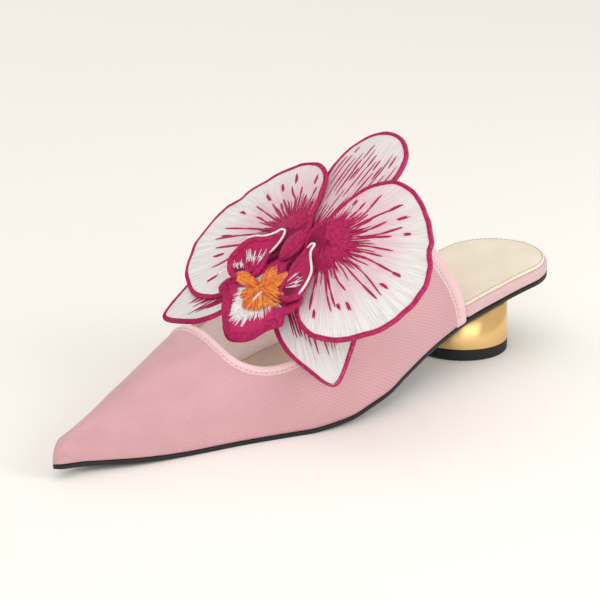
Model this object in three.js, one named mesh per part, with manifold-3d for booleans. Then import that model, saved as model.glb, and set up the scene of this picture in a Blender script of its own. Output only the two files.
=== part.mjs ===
// A left mule with a pointed toe, a round block heel and a layered orchid sewn on its instep band.
// Millimetres, +Z up, toe towards -Y, +X on the outer side of the foot.
// The origin is the centre of the heel tip's floor face.

import * as THREE from 'three';
import { mergeVertices } from 'three/addons/utils/BufferGeometryUtils.js';
import Module from 'manifold-3d';

const wasm = await Module();
wasm.setup();

// Sizes of the last
const SHOE_LENGTH = 266;
const BALL_WIDTH = 75;
const SEAT_WIDTH = 54.4;
const SEAT_LENGTH = 25.4;
const SEAT_RISE = 28;
const TOE_SPRING = 4.2;
const TOE_RADIUS = 4;
const INSTEP_DEPTH = 65;
const SECTION_POWER = 2.1;
const SIDE_BULGE = 2;

// Sizes of the bottom and the heel
const OUTSOLE_THICKNESS = 1.8;
const BOARD_THICKNESS = 5;
const SOCK_THICKNESS = 1.2;
const SOCK_MARGIN = 1.4;
const HEEL_RADIUS = 21.8;
const HEEL_TAPER = 1.1;
const HEEL_SETBACK = 22.9;
const HEEL_TIP_THICKNESS = 5;
const HEEL_TIP_ROUND = 0.8;

// Sizes of the upper and its tapes
const UPPER_WALL = 1.3;
const TOE_PUFF = 3.5;
const FEATHER = 0.1;
const TAPE_PROUD = 0.35;
const TAPE_ROUND = 0.6;
const THROAT_TAPE_WIDTH = 3.8;
const REAR_TAPE_WIDTH = 6.4;
const INSTEP_GIRTH = 130;
const CUT_DEPTH = 5;

// Sizes of the orchid
const FLOWER_TILT = 40;
const FLOWER_ROLL = 0.14;
const FLOWER_CREST = 8;
const FLOWER_SHIFT = 6.28;
const FLOWER_STAND = 6.71;
const PETAL_REACH = 63;
const UPPER_SEPAL_LENGTH = 61;
const UPPER_SEPAL_WIDTH = 36;
const LOWER_SEPAL_REACH = 59;
const LOWER_SEPAL_WIDTH = 35;
const LIP_LENGTH = 54;
const LIP_WIDTH = 38;
const LOBE_SPREAD = 23.5;
const INNER_LOBE_LIFT = 9;
const OUTER_LOBE_LIFT = 3.8;
const COLUMN_LENGTH = 15;
const COLUMN_WIDTH = 8;
const PETAL_THICKNESS = 1.4;
const STITCH_PAD_RADIUS = 8;
const STITCH_PAD_UP = 10;

// The clearance that pieces keep where they meet, and the ease that a layer adds to it
const GAP = 0.3;
const EASE = 0.1;

const MID_BALL = BALL_WIDTH / 2;
const MID_SEAT = SEAT_WIDTH / 2;
const BACK_Y = HEEL_RADIUS + HEEL_SETBACK;
const TOE_Y = BACK_Y - SHOE_LENGTH;

// Plan of the sole: half widths as shares of the ball's and the seat's half widths
const OUTLINE = [
  { along: 0, outer: -0.1, inner: 0.22, seat: 0 },
  { along: 0.037, outer: -0.06, inner: 0.26, seat: 0 },
  { along: 0.065, outer: 0.02, inner: 0.32, seat: 0 },
  { along: 0.118, outer: 0.185, inner: 0.493, seat: 0 },
  { along: 0.193, outer: 0.345, inner: 0.7, seat: 0 },
  { along: 0.268, outer: 0.5, inner: 0.893, seat: 0 },
  { along: 0.343, outer: 0.69, inner: 1.027, seat: 0 },
  { along: 0.388, outer: 0.81, inner: 1.08, seat: 0 },
  { along: 0.456, outer: 0.9, inner: 1.04, seat: 0 },
  { along: 0.512, outer: 0.9, inner: 0.96, seat: 0 },
  { along: 0.569, outer: 0.7, inner: 0.7, seat: 0.17 },
  { along: 0.625, outer: 0.44, inner: 0.4, seat: 0.42 },
  { along: 0.682, outer: 0.22, inner: 0.17, seat: 0.65 },
  { along: 0.757, outer: 0.03, inner: 0.01, seat: 0.9 },
  { along: 0.832, outer: 0, inner: -0.02, seat: 1 },
  { along: 1, outer: 0, inner: 0, seat: 1 },
];

// Side view of the sole's underside: shares of the seat's rise and of the toe spring
const UNDERSIDE = [
  { along: 0, rise: 0, spring: 1 },
  { along: 0.05, rise: 0, spring: 0.66 },
  { along: 0.118, rise: 0, spring: 0.3 },
  { along: 0.17, rise: 0, spring: 0.06 },
  { along: 0.2, rise: 0, spring: 0 },
  { along: 0.36, rise: 0, spring: 0 },
  { along: 0.437, rise: 0.065, spring: 0 },
  { along: 0.494, rise: 0.18, spring: 0 },
  { along: 0.558, rise: 0.335, spring: 0 },
  { along: 0.625, rise: 0.505, spring: 0 },
  { along: 0.69, rise: 0.67, spring: 0 },
  { along: 0.757, rise: 0.85, spring: 0 },
  { along: 0.795, rise: 0.935, spring: 0 },
  { along: 0.832, rise: 1, spring: 0 },
  { along: 0.892, rise: 1.07, spring: 0 },
  { along: 1, rise: 1.17, spring: 0 },
];

// Ridge of the upper over the outsole, as shares of the instep's depth
const RIDGE = [
  { along: 0, depth: 0.12 },
  { along: 0.009, depth: 0.14 },
  { along: 0.0275, depth: 0.175 },
  { along: 0.08, depth: 0.288 },
  { along: 0.14, depth: 0.405 },
  { along: 0.204, depth: 0.523 },
  { along: 0.264, depth: 0.622 },
  { along: 0.343, depth: 0.76 },
  { along: 0.437, depth: 0.935 },
  { along: 0.53, depth: 0.99 },
  { along: 0.588, depth: 1 },
  { along: 0.73, depth: 1.03 },
  { along: 1, depth: 1.05 },
];

// Platform: its thickness as a share of the board's, and how far the upper's foot covers its side
const PLATFORM = [
  { along: 0, thick: 0.22, covered: 1 },
  { along: 0.12, thick: 0.3, covered: 1 },
  { along: 0.3, thick: 0.5, covered: 1 },
  { along: 0.5, thick: 0.7, covered: 1 },
  { along: 0.743, thick: 1, covered: 1 },
  { along: 0.763, thick: 1, covered: 0 },
  { along: 1, thick: 1, covered: 0 },
];
const BOARD_START = 0.06;
const SOCK_START = 0.085;

// Rear edge of the instep band: low at both sides, forward at the top
const REAR_EDGE = { low: 0.736, top: 0.594, sweep: 1.45 };

// Cut-out in front of the band: along the length, and around the section from the outer side
const THROAT = [
  { along: 0.266, around: 0.47 },
  { along: 0.268, around: 0.585 },
  { along: 0.272, around: 0.67 },
  { along: 0.292, around: 0.75 },
  { along: 0.33, around: 0.785 },
  { along: 0.385, around: 0.785 },
  { along: 0.425, around: 0.73 },
  { along: 0.446, around: 0.62 },
  { along: 0.451, around: 0.5 },
  { along: 0.446, around: 0.38 },
  { along: 0.425, around: 0.27 },
  { along: 0.385, around: 0.205 },
  { along: 0.345, around: 0.19 },
  { along: 0.308, around: 0.208 },
  { along: 0.281, around: 0.262 },
  { along: 0.269, around: 0.35 },
];
const THROAT_CENTRE = { along: 0.355, around: 0.48 };

// Orchid outlines: across and up are shares of each piece's own named sizes
const PETAL_OUTLINE = [
  { across: 0, up: 0.05 }, { across: 0.07, up: 0.2 }, { across: 0.12, up: 0.37 },
  { across: 0.21, up: 0.51 }, { across: 0.34, up: 0.58 }, { across: 0.5, up: 0.56 },
  { across: 0.66, up: 0.46 }, { across: 0.81, up: 0.32 }, { across: 0.94, up: 0.14 },
  { across: 1, up: -0.06 }, { across: 0.97, up: -0.28 }, { across: 0.86, up: -0.46 },
  { across: 0.69, up: -0.58 }, { across: 0.51, up: -0.61 }, { across: 0.35, up: -0.56 },
  { across: 0.2, up: -0.36 }, { across: 0.05, up: -0.11 },
];
const UPPER_SEPAL_OUTLINE = [
  { across: -0.2, up: 0.03 }, { across: -0.5, up: 0.22 }, { across: -0.86, up: 0.46 },
  { across: -1, up: 0.66 }, { across: -0.86, up: 0.84 }, { across: -0.46, up: 0.965 },
  { across: 0, up: 1 }, { across: 0.46, up: 0.965 }, { across: 0.86, up: 0.84 },
  { across: 1, up: 0.66 }, { across: 0.86, up: 0.46 }, { across: 0.5, up: 0.22 },
  { across: 0.2, up: 0.03 },
];
const LOWER_SEPAL_OUTLINE = [
  { across: -0.2, up: 0.07 }, { across: -0.68, up: 0.3 }, { across: -1, up: 0.56 },
  { across: -0.9, up: 0.73 }, { across: -0.56, up: 0.87 }, { across: 0, up: 1 },
  { across: 0.56, up: 0.87 }, { across: 0.9, up: 0.73 }, { across: 1, up: 0.56 },
  { across: 0.68, up: 0.3 }, { across: 0.2, up: 0.07 },
];
const LIP_OUTLINE = [
  { across: -0.16, up: 0.08 }, { across: -0.2, up: 0.3 }, { across: -0.4, up: 0.48 },
  { across: -0.92, up: 0.55 }, { across: -1, up: 0.65 }, { across: -0.84, up: 0.78 },
  { across: -0.58, up: 0.9 }, { across: 0, up: 1 }, { across: 0.58, up: 0.9 },
  { across: 0.84, up: 0.78 }, { across: 1, up: 0.65 }, { across: 0.92, up: 0.55 },
  { across: 0.4, up: 0.48 }, { across: 0.2, up: 0.3 }, { across: 0.16, up: 0.08 },
];
const LOBE_OUTLINE = [
  { across: 0.32, up: -0.06 }, { across: 0.54, up: -0.12 }, { across: 0.8, up: -0.32 },
  { across: 0.97, up: -0.58 }, { across: 1, up: -0.88 }, { across: 0.86, up: -1.14 },
  { across: 0.62, up: -1.28 }, { across: 0.38, up: -1.24 }, { across: 0.27, up: -1.02 },
  { across: 0.26, up: -0.64 }, { across: 0.26, up: -0.28 },
];

// Reads one column of a table at a share of the length, with slopes that never overshoot
function read(table, column, along) {
  const last = table.length - 1;
  if (along <= table[0].along) return table[0][column];
  if (along >= table[last].along) return table[last][column];
  const slope = (k) => (table[k + 1][column] - table[k][column]) / (table[k + 1].along - table[k].along);
  const tangent = (k) => {
    if (k === 0) return slope(0);
    if (k === last) return slope(last - 1);
    const before = slope(k - 1);
    const after = slope(k);
    return before * after <= 0 ? 0 : (2 * before * after) / (before + after);
  };
  let k = 0;
  while (table[k + 1].along < along) k += 1;
  const width = table[k + 1].along - table[k].along;
  const share = (along - table[k].along) / width;
  const rest = 1 - share;
  return table[k][column] * (1 + 2 * share) * rest * rest
    + table[k + 1][column] * share * share * (3 - 2 * share)
    + tangent(k) * width * share * rest * rest
    - tangent(k + 1) * width * share * share * rest;
}

const yAt = (along) => TOE_Y + along * SHOE_LENGTH;
const alongAt = (y) => (y - TOE_Y) / SHOE_LENGTH;

const roundEnd = (distance, radius) => {
  const left = 1 - Math.min(Math.max(distance / radius, 0), 1);
  return Math.sqrt(1 - left * left);
};

// Middle and half width of the sole at y, drawn in by an inset
function edges(y, inset) {
  const along = alongAt(y);
  const seat = read(OUTLINE, 'seat', along) * MID_SEAT;
  const outer = read(OUTLINE, 'outer', along) * MID_BALL + seat;
  const inner = read(OUTLINE, 'inner', along) * MID_BALL + seat;
  const toe = roundEnd(y - TOE_Y, TOE_RADIUS);
  const back = roundEnd(BACK_Y - inset - y, SEAT_LENGTH - inset);
  const half = Math.max((outer + inner) / 2 - inset, 0) * toe * back;
  const middle = (outer - inner) / 2;
  return { middle, half };
}

const underside = (y) => read(UNDERSIDE, 'rise', alongAt(y)) * SEAT_RISE
  + read(UNDERSIDE, 'spring', alongAt(y)) * TOE_SPRING;
const footbed = (y) => underside(y) + OUTSOLE_THICKNESS + GAP;

// A closed mesh from points and faces, with shared points merged and empty faces dropped
function solid(points, faces) {
  const flat = new THREE.BufferGeometry();
  flat.setAttribute('position', new THREE.Float32BufferAttribute(points.flatMap((p) => [p.x, p.y, p.z]), 3));
  flat.setIndex(faces.flat());
  const merged = mergeVertices(flat, 1e-4);
  const index = Array.from(merged.index.array);
  const kept = [];
  for (let k = 0; k < index.length; k += 3) {
    const [a, b, c] = index.slice(k, k + 3);
    if (a !== b && b !== c && c !== a) kept.push(a, b, c);
  }
  merged.setIndex(kept);
  return merged;
}

// Rows of points, each row a closed loop, skinned and capped at both ends
function skin(rows) {
  const size = rows[0].length;
  const points = rows.flat();
  const faces = [];
  for (let r = 0; r + 1 < rows.length; r += 1) {
    for (let k = 0; k < size; k += 1) {
      const next = (k + 1) % size;
      const a = r * size + k;
      const b = r * size + next;
      const c = a + size;
      const d = b + size;
      faces.push([a, b, d], [a, d, c]);
    }
  }
  const capAt = (start, flip) => {
    for (let k = 1; k + 1 < size; k += 1) {
      faces.push(flip ? [start, start + k + 1, start + k] : [start, start + k, start + k + 1]);
    }
  };
  capAt(0, true);
  capAt((rows.length - 1) * size, false);
  return outward(points, faces);
}

// Turns every face round where the volume they enclose comes out negative
function outward(points, faces) {
  let volume = 0;
  for (const [a, b, c] of faces) volume += points[a].dot(points[b].clone().cross(points[c]));
  return solid(points, volume < 0 ? faces.map(([a, b, c]) => [a, c, b]) : faces);
}

const toManifold = (geometry) => new wasm.Manifold(new wasm.Mesh({
  numProp: 3,
  vertProperties: new Float32Array(geometry.attributes.position.array),
  triVerts: new Uint32Array(geometry.index.array),
}));

function fromManifold(body) {
  const mesh = body.getMesh();
  const geometry = new THREE.BufferGeometry();
  geometry.setAttribute('position', new THREE.BufferAttribute(mesh.vertProperties, 3));
  geometry.setIndex(new THREE.BufferAttribute(mesh.triVerts, 1));
  return geometry;
}

// Lengths from the toe to the back, closer together at both rounded ends
const stations = (start, count) => Array.from({ length: count }, (_, k) => {
  const share = (1 - Math.cos((Math.PI * (k + 0.5)) / count)) / 2;
  return yAt(start + (1 - start) * share);
});

// A layer of the bottom between two heights, with softened rims
function layer(start, count, halfAt, lowAt, highAt, rim) {
  const rows = stations(start, count).map((y) => {
    const { middle, half } = halfAt(y);
    const low = lowAt(y);
    const high = highAt(y);
    const soft = Math.min(rim, half * 0.5);
    const at = (x, z) => new THREE.Vector3(middle + x, y, z);
    return [
      at(half - soft, low), at(half, low + soft), at(half, high - soft), at(half - soft, high),
      at(soft - half, high), at(-half, high - soft), at(-half, low + soft), at(soft - half, low),
    ];
  });
  return skin(rows);
}

const OUTSOLE_STATIONS = 46;
const OUTSOLE_RIM = 0.25;
const BOARD_RIM = 0.9;
const SOCK_RIM = 0.3;

function outsole() {
  const plan = (y) => edges(y, 0);
  return layer(0, OUTSOLE_STATIONS, plan, underside, (y) => underside(y) + OUTSOLE_THICKNESS, OUTSOLE_RIM);
}

const boardTop = (y) => footbed(y) + BOARD_THICKNESS * read(PLATFORM, 'thick', alongAt(y));

// The board stands flush with the outsole at the seat and inside the upper's foot in front of it
function boardPlan(y, margin, top) {
  const covered = read(PLATFORM, 'covered', alongAt(y));
  const inset = FEATHER + margin + covered * (UPPER_WALL + TAPE_PROUD + GAP);
  const plan = edges(y, inset);
  if (covered === 0) return plan;
  const depth = upperDepth(y, UPPER_WALL, 0);
  const share = Math.min((top(y) - footbed(y)) / depth, 0.98);
  const room = (1 - share ** SECTION_POWER) ** (1 / SECTION_POWER) * upperHalf(y, UPPER_WALL, 0) - GAP - margin;
  return { middle: plan.middle, half: covered > 0.5 ? Math.min(plan.half, room) : plan.half };
}

function board() {
  return layer(BOARD_START, OUTSOLE_STATIONS, (y) => boardPlan(y, 0, boardTop), footbed, boardTop, BOARD_RIM);
}

function sock() {
  const low = (y) => boardTop(y) + GAP;
  const high = (y) => low(y) + SOCK_THICKNESS;
  return layer(SOCK_START, OUTSOLE_STATIONS, (y) => boardPlan(y, SOCK_MARGIN, high), low, high, SOCK_RIM);
}

// The upper's half width and depth at y, drawn in by an inset and starting back from the toe by nose
function upperHalf(y, inset, nose) {
  const along = alongAt(y);
  const seat = read(OUTLINE, 'seat', along) * 2 * MID_SEAT;
  const ball = (read(OUTLINE, 'outer', along) + read(OUTLINE, 'inner', along)) * MID_BALL;
  const half = (ball + seat) / 2 - FEATHER - inset;
  return Math.max(half, 0) * roundEnd(y - TOE_Y - nose, TOE_RADIUS);
}

function upperDepth(y, inset, nose) {
  const depth = read(RIDGE, 'depth', alongAt(y)) * INSTEP_DEPTH - inset;
  return Math.max(depth, 0) * roundEnd(y - TOE_Y - nose, TOE_RADIUS);
}

// A point of the upper: around runs from 0 at the outer foot over the ridge to 1 at the inner foot
function upperPoint(y, around, inset = 0, nose = 0) {
  const angle = Math.PI * around;
  const rise = Math.max(Math.sin(angle), 0) ** (2 / SECTION_POWER);
  const side = Math.sign(Math.cos(angle));
  const run = Math.abs(Math.cos(angle)) ** (2 / SECTION_POWER);
  const half = upperHalf(y, inset, nose);
  const bulge = SIDE_BULGE * Math.min(half / MID_BALL, 1) * 4 * rise * (1 - rise);
  const x = edges(y, 0).middle + side * (half * run + bulge);
  return new THREE.Vector3(x, y, footbed(y) + upperDepth(y, inset, nose) * rise);
}

// The surface at a point: its steps along the length and around the section, and its outward normal
function frameAt(y, around) {
  const dy = 0.05;
  const da = 0.0005;
  const low = Math.max(around - da, 0);
  const high = Math.min(around + da, 1);
  const alongStep = upperPoint(y + dy, around).sub(upperPoint(y - dy, around)).divideScalar(2 * dy);
  const aroundStep = upperPoint(y, high).sub(upperPoint(y, low)).divideScalar(high - low);
  const normal = alongStep.clone().cross(aroundStep).normalize();
  const up = Math.abs(normal.z) > 0.2 ? normal.z : normal.x * (around < 0.5 ? 1 : -1);
  return { alongStep, aroundStep, normal: up < 0 ? normal.negate() : normal };
}

const lift = (y, around, height) => upperPoint(y, around).addScaledVector(frameAt(y, around).normal, height);

// The rear edge and lines that run in front of it at a distance over the surface
function rearEdge(around) {
  const rise = Math.max(Math.sin(Math.PI * around), 0) ** (2 / SECTION_POWER);
  return yAt(REAR_EDGE.low + (REAR_EDGE.top - REAR_EDGE.low) * rise ** REAR_EDGE.sweep);
}

function beforeRearEdge(around, distance) {
  const y = rearEdge(around);
  const step = 0.004;
  const low = Math.max(around - step, 0);
  const high = Math.min(around + step, 1);
  const { alongStep, aroundStep } = frameAt(y, around);
  const slant = (alongStep.length() * (rearEdge(high) - rearEdge(low)) / (high - low)) / aroundStep.length();
  return y - (distance * Math.hypot(1, slant)) / alongStep.length();
}

const UPPER_ROWS = 36;
const UPPER_COLUMNS = 30;

// The upper as one open shell: outer face, inner face, and the rims at its foot and its rear edge
function upperShell() {
  const points = [];
  const rows = UPPER_ROWS + 1;
  const columns = UPPER_COLUMNS + 1;
  const addFace = (inset, nose) => {
    for (let r = 0; r < rows; r += 1) {
      const share = 1 - Math.cos((Math.PI / 2) * (r / UPPER_ROWS));
      for (let k = 0; k < columns; k += 1) {
        const around = k / UPPER_COLUMNS;
        const end = beforeRearEdge(around, REAR_TAPE_WIDTH + GAP);
        const y = TOE_Y + nose + (end - TOE_Y - nose) * share;
        points.push(upperPoint(y, around, inset, nose));
      }
    }
  };
  addFace(0, 0);
  addFace(UPPER_WALL, TOE_PUFF);
  const outer = (r, k) => r * columns + k;
  const inner = (r, k) => rows * columns + r * columns + k;
  const faces = [];
  const quad = (a, b, c, d) => faces.push([a, b, c], [a, c, d]);
  for (let r = 0; r < UPPER_ROWS; r += 1) {
    for (let k = 0; k < UPPER_COLUMNS; k += 1) {
      quad(outer(r, k), outer(r, k + 1), outer(r + 1, k + 1), outer(r + 1, k));
      quad(inner(r, k), inner(r + 1, k), inner(r + 1, k + 1), inner(r, k + 1));
    }
    quad(outer(r, 0), outer(r + 1, 0), inner(r + 1, 0), inner(r, 0));
    const end = UPPER_COLUMNS;
    quad(outer(r, end), inner(r, end), inner(r + 1, end), outer(r + 1, end));
  }
  for (let k = 0; k < UPPER_COLUMNS; k += 1) {
    quad(outer(UPPER_ROWS, k), outer(UPPER_ROWS, k + 1), inner(UPPER_ROWS, k + 1), inner(UPPER_ROWS, k));
  }
  return outward(points, faces);
}

const THROAT_POINTS = 52;

// The cut-out's edge as points of the surface, moved out from the edge by a distance
function throatLoop(distance) {
  const marks = THROAT.map((m) => new THREE.Vector3(yAt(m.along), m.around * INSTEP_GIRTH, 0));
  const line = new THREE.CatmullRomCurve3(marks, true, 'centripetal').getSpacedPoints(THROAT_POINTS).slice(0, -1);
  const centre = upperPoint(yAt(THROAT_CENTRE.along), THROAT_CENTRE.around);
  return line.map((p, k) => {
    const y = p.x;
    const around = p.y / INSTEP_GIRTH;
    const next = line[(k + 1) % line.length];
    const before = line[(k + line.length - 1) % line.length];
    const { alongStep, aroundStep, normal } = frameAt(y, around);
    const tangent = alongStep.clone().multiplyScalar(next.x - before.x)
      .addScaledVector(aroundStep, (next.y - before.y) / INSTEP_GIRTH);
    const out = normal.clone().cross(tangent).normalize();
    if (out.dot(upperPoint(y, around).sub(centre)) < 0) out.negate();
    const aa = alongStep.lengthSq();
    const bb = aroundStep.lengthSq();
    const ab = alongStep.dot(aroundStep);
    const oa = out.dot(alongStep);
    const ob = out.dot(aroundStep);
    const scale = distance / (aa * bb - ab * ab);
    return { y: y + (oa * bb - ob * ab) * scale, around: around + (ob * aa - oa * ab) * scale };
  });
}

// A plug through the wall over the cut-out and the seam of its tape
function throatPlug() {
  const rings = [1, 0.66, 0.33];
  const loop = throatLoop(THROAT_TAPE_WIDTH + GAP + EASE);
  const centreY = yAt(THROAT_CENTRE.along);
  const points = [];
  const faces = [];
  for (const height of [CUT_DEPTH, -CUT_DEPTH]) {
    for (const ring of rings) {
      for (const m of loop) {
        const y = centreY + (m.y - centreY) * ring;
        const around = THROAT_CENTRE.around + (m.around - THROAT_CENTRE.around) * ring;
        points.push(lift(y, around, height));
      }
    }
    points.push(lift(centreY, THROAT_CENTRE.around, height));
  }
  const size = loop.length;
  const side = rings.length * size + 1;
  for (let k = 0; k < size; k += 1) {
    const next = (k + 1) % size;
    for (const top of [true, false]) {
      const base = top ? 0 : side;
      const put = (a, b, c) => faces.push(top ? [a, b, c] : [a, c, b]);
      for (let r = 0; r + 1 < rings.length; r += 1) {
        const a = base + r * size;
        const b = a + size;
        put(a + k, a + next, b + next);
        put(a + k, b + next, b + k);
      }
      const last = base + (rings.length - 1) * size;
      put(last + k, last + next, base + side - 1);
    }
    faces.push([k, side + k, side + next], [k, side + next, next]);
  }
  return outward(points, faces);
}

function upper() {
  return fromManifold(toManifold(upperShell()).subtract(toManifold(throatPlug())));
}

// The section of a folded tape: how far in from the edge, and how high over the outer face
function tapeSection(width) {
  const top = TAPE_PROUD;
  const low = -UPPER_WALL - TAPE_PROUD;
  return [
    { from: 0, height: top - TAPE_ROUND }, { from: TAPE_ROUND, height: top },
    { from: width - TAPE_ROUND, height: top }, { from: width, height: top - TAPE_ROUND },
    { from: width, height: low + TAPE_ROUND }, { from: width - TAPE_ROUND, height: low },
    { from: TAPE_ROUND, height: low }, { from: 0, height: low + TAPE_ROUND },
  ];
}

function throatTape() {
  const section = tapeSection(THROAT_TAPE_WIDTH);
  const loops = section.map(({ from, height }) => throatLoop(from).map((m) => lift(m.y, m.around, height)));
  const size = loops[0].length;
  const points = loops.flat();
  const faces = [];
  for (let s = 0; s < loops.length; s += 1) {
    const over = ((s + 1) % loops.length) * size;
    for (let k = 0; k < size; k += 1) {
      const next = (k + 1) % size;
      faces.push([s * size + k, s * size + next, over + next], [s * size + k, over + next, over + k]);
    }
  }
  return outward(points, faces);
}

function rearTape() {
  const section = tapeSection(REAR_TAPE_WIDTH);
  const rows = Array.from({ length: UPPER_COLUMNS + 1 }, (_, k) => {
    const around = k / UPPER_COLUMNS;
    return section.map(({ from, height }) => {
      const y = beforeRearEdge(around, from);
      const point = lift(y, around, height);
      if (k === 0 || k === UPPER_COLUMNS) point.z = footbed(point.y);
      return point;
    });
  });
  return skin(rows);
}

const HEEL_SIDES = 48;
const HEEL_RINGS = [0.4, 0.75, 1];

// The heel block: its top face follows the outsole's underside
function heelBlock() {
  const low = HEEL_TIP_THICKNESS + GAP;
  const topRadius = HEEL_RADIUS - HEEL_TAPER;
  const points = [];
  const ring = (radius, heightAt) => {
    for (let k = 0; k < HEEL_SIDES; k += 1) {
      const turn = (2 * Math.PI * k) / HEEL_SIDES;
      const x = radius * Math.cos(turn);
      const y = radius * Math.sin(turn);
      points.push(new THREE.Vector3(x, y, heightAt(y)));
    }
  };
  const top = (y) => underside(y) - GAP;
  points.push(new THREE.Vector3(0, 0, low));
  ring(HEEL_RADIUS, () => low);
  for (const share of [...HEEL_RINGS].reverse()) ring(topRadius * share, top);
  points.push(new THREE.Vector3(0, 0, top(0)));
  const faces = [];
  const count = HEEL_RINGS.length + 1;
  for (let k = 0; k < HEEL_SIDES; k += 1) {
    const next = (k + 1) % HEEL_SIDES;
    faces.push([0, 1 + next, 1 + k]);
    for (let r = 0; r + 1 < count; r += 1) {
      const a = 1 + r * HEEL_SIDES;
      const b = a + HEEL_SIDES;
      faces.push([a + k, a + next, b + next], [a + k, b + next, b + k]);
    }
    const last = 1 + (count - 1) * HEEL_SIDES;
    faces.push([last + k, last + next, points.length - 1]);
  }
  return outward(points, faces);
}

function heelTip() {
  const r = HEEL_RADIUS;
  const profile = [
    new THREE.Vector2(0, 0), new THREE.Vector2(r - HEEL_TIP_ROUND, 0),
    new THREE.Vector2(r - HEEL_TIP_ROUND * 0.3, HEEL_TIP_ROUND * 0.3), new THREE.Vector2(r, HEEL_TIP_ROUND),
    new THREE.Vector2(r, HEEL_TIP_THICKNESS), new THREE.Vector2(0, HEEL_TIP_THICKNESS),
  ];
  const turned = new THREE.LatheGeometry(profile, HEEL_SIDES);
  turned.rotateX(Math.PI / 2);
  turned.deleteAttribute('normal');
  turned.deleteAttribute('uv');
  const points = [];
  const position = turned.attributes.position;
  for (let k = 0; k < position.count; k += 1) points.push(new THREE.Vector3().fromBufferAttribute(position, k));
  const faces = [];
  for (let k = 0; k < turned.index.count; k += 3) {
    faces.push([turned.index.getX(k), turned.index.getX(k + 1), turned.index.getX(k + 2)]);
  }
  return outward(points, faces);
}

// The orchid stands over the band's ridge, in its own frame: across, up along its face, and out of it
const FLOWER_ALONG = 0.4485;
const FLOWER_CENTRE = upperPoint(yAt(FLOWER_ALONG), 0.5).add(new THREE.Vector3(FLOWER_SHIFT, 0, FLOWER_STAND));
const tilt = THREE.MathUtils.degToRad(FLOWER_TILT);
const FLOWER_UP = new THREE.Vector3(0, Math.cos(tilt), Math.sin(tilt));
const FLOWER_OUT = new THREE.Vector3(0, -Math.sin(tilt), Math.cos(tilt));
const flowerPoint = (across, up, out) => FLOWER_CENTRE.clone()
  .add(new THREE.Vector3(across, 0, 0)).addScaledVector(FLOWER_UP, up).addScaledVector(FLOWER_OUT, out);

// The flower falls off to both sides of its middle line
const fall = (across) => -FLOWER_ROLL * (Math.hypot(across, FLOWER_CREST) - FLOWER_CREST);
const LAYER = PETAL_THICKNESS + GAP + EASE;

const PETAL_RINGS = [1, 0.7, 0.36];
const PETAL_POINTS = 30;

// A thin petal over a closed outline: its top follows a height, its underside lies one thickness lower
function petal(outline, place, heightAt) {
  const marks = outline.map(({ across, up }) => {
    const spot = place(across, up);
    return new THREE.Vector3(spot.across, spot.up, 0);
  });
  const line = new THREE.CatmullRomCurve3(marks, true, 'centripetal').getSpacedPoints(PETAL_POINTS).slice(0, -1);
  const centre = line.reduce((sum, p) => sum.add(p), new THREE.Vector3()).divideScalar(line.length);
  const points = [];
  for (const drop of [0, PETAL_THICKNESS]) {
    for (const ring of PETAL_RINGS) {
      for (const p of line) {
        const spot = centre.clone().lerp(p, ring);
        points.push(flowerPoint(spot.x, spot.y, heightAt(spot.x, spot.y) - drop));
      }
    }
    points.push(flowerPoint(centre.x, centre.y, heightAt(centre.x, centre.y) - drop));
  }
  const size = line.length;
  const side = PETAL_RINGS.length * size + 1;
  const faces = [];
  for (let k = 0; k < size; k += 1) {
    const next = (k + 1) % size;
    for (const top of [true, false]) {
      const base = top ? 0 : side;
      const put = (a, b, c) => faces.push(top ? [a, b, c] : [a, c, b]);
      for (let r = 0; r + 1 < PETAL_RINGS.length; r += 1) {
        const a = base + r * size;
        const b = a + size;
        put(a + k, a + next, b + next);
        put(a + k, b + next, b + k);
      }
      const last = base + (PETAL_RINGS.length - 1) * size;
      put(last + k, last + next, base + side - 1);
    }
    faces.push([k, side + k, side + next], [k, side + next, next]);
  }
  return outward(points, faces);
}

function sidePetal(side) {
  const place = (across, up) => ({ across: side * (across * PETAL_REACH + GAP), up: up * PETAL_REACH });
  return petal(PETAL_OUTLINE, place, (across) => fall(across));
}

const UPPER_SEPAL_BACK = 0.05;
const upperSepalHeight = (across, up) => fall(across) - LAYER - UPPER_SEPAL_BACK * Math.max(up, 0);

// The upper sepal is padded at its root, where the flower is sewn to the band
function upperSepal() {
  const place = (across, up) => ({
    across: (across * UPPER_SEPAL_WIDTH) / 2,
    up: up * UPPER_SEPAL_LENGTH,
  });
  const blade = petal(UPPER_SEPAL_OUTLINE, place, upperSepalHeight);
  return fromManifold(toManifold(blade).add(toManifold(stitchPad())));
}

// Height of the upper's outer face under a point of the plan
function upperTop(x, y) {
  let low = x > upperPoint(y, 0.5).x ? 0 : 0.5;
  let high = low + 0.5;
  for (let k = 0; k < HALVINGS; k += 1) {
    const around = (low + high) / 2;
    if (upperPoint(y, around).x > x) low = around;
    else high = around;
  }
  return upperPoint(y, (low + high) / 2).z;
}

const PAD_CENTRE = { across: 0, up: STITCH_PAD_UP };
const PAD_SIDES = 20;
const HALVINGS = 30;
const PAD_SINK = 0.7;
const BAND_CLEAR = 0.55;

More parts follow.
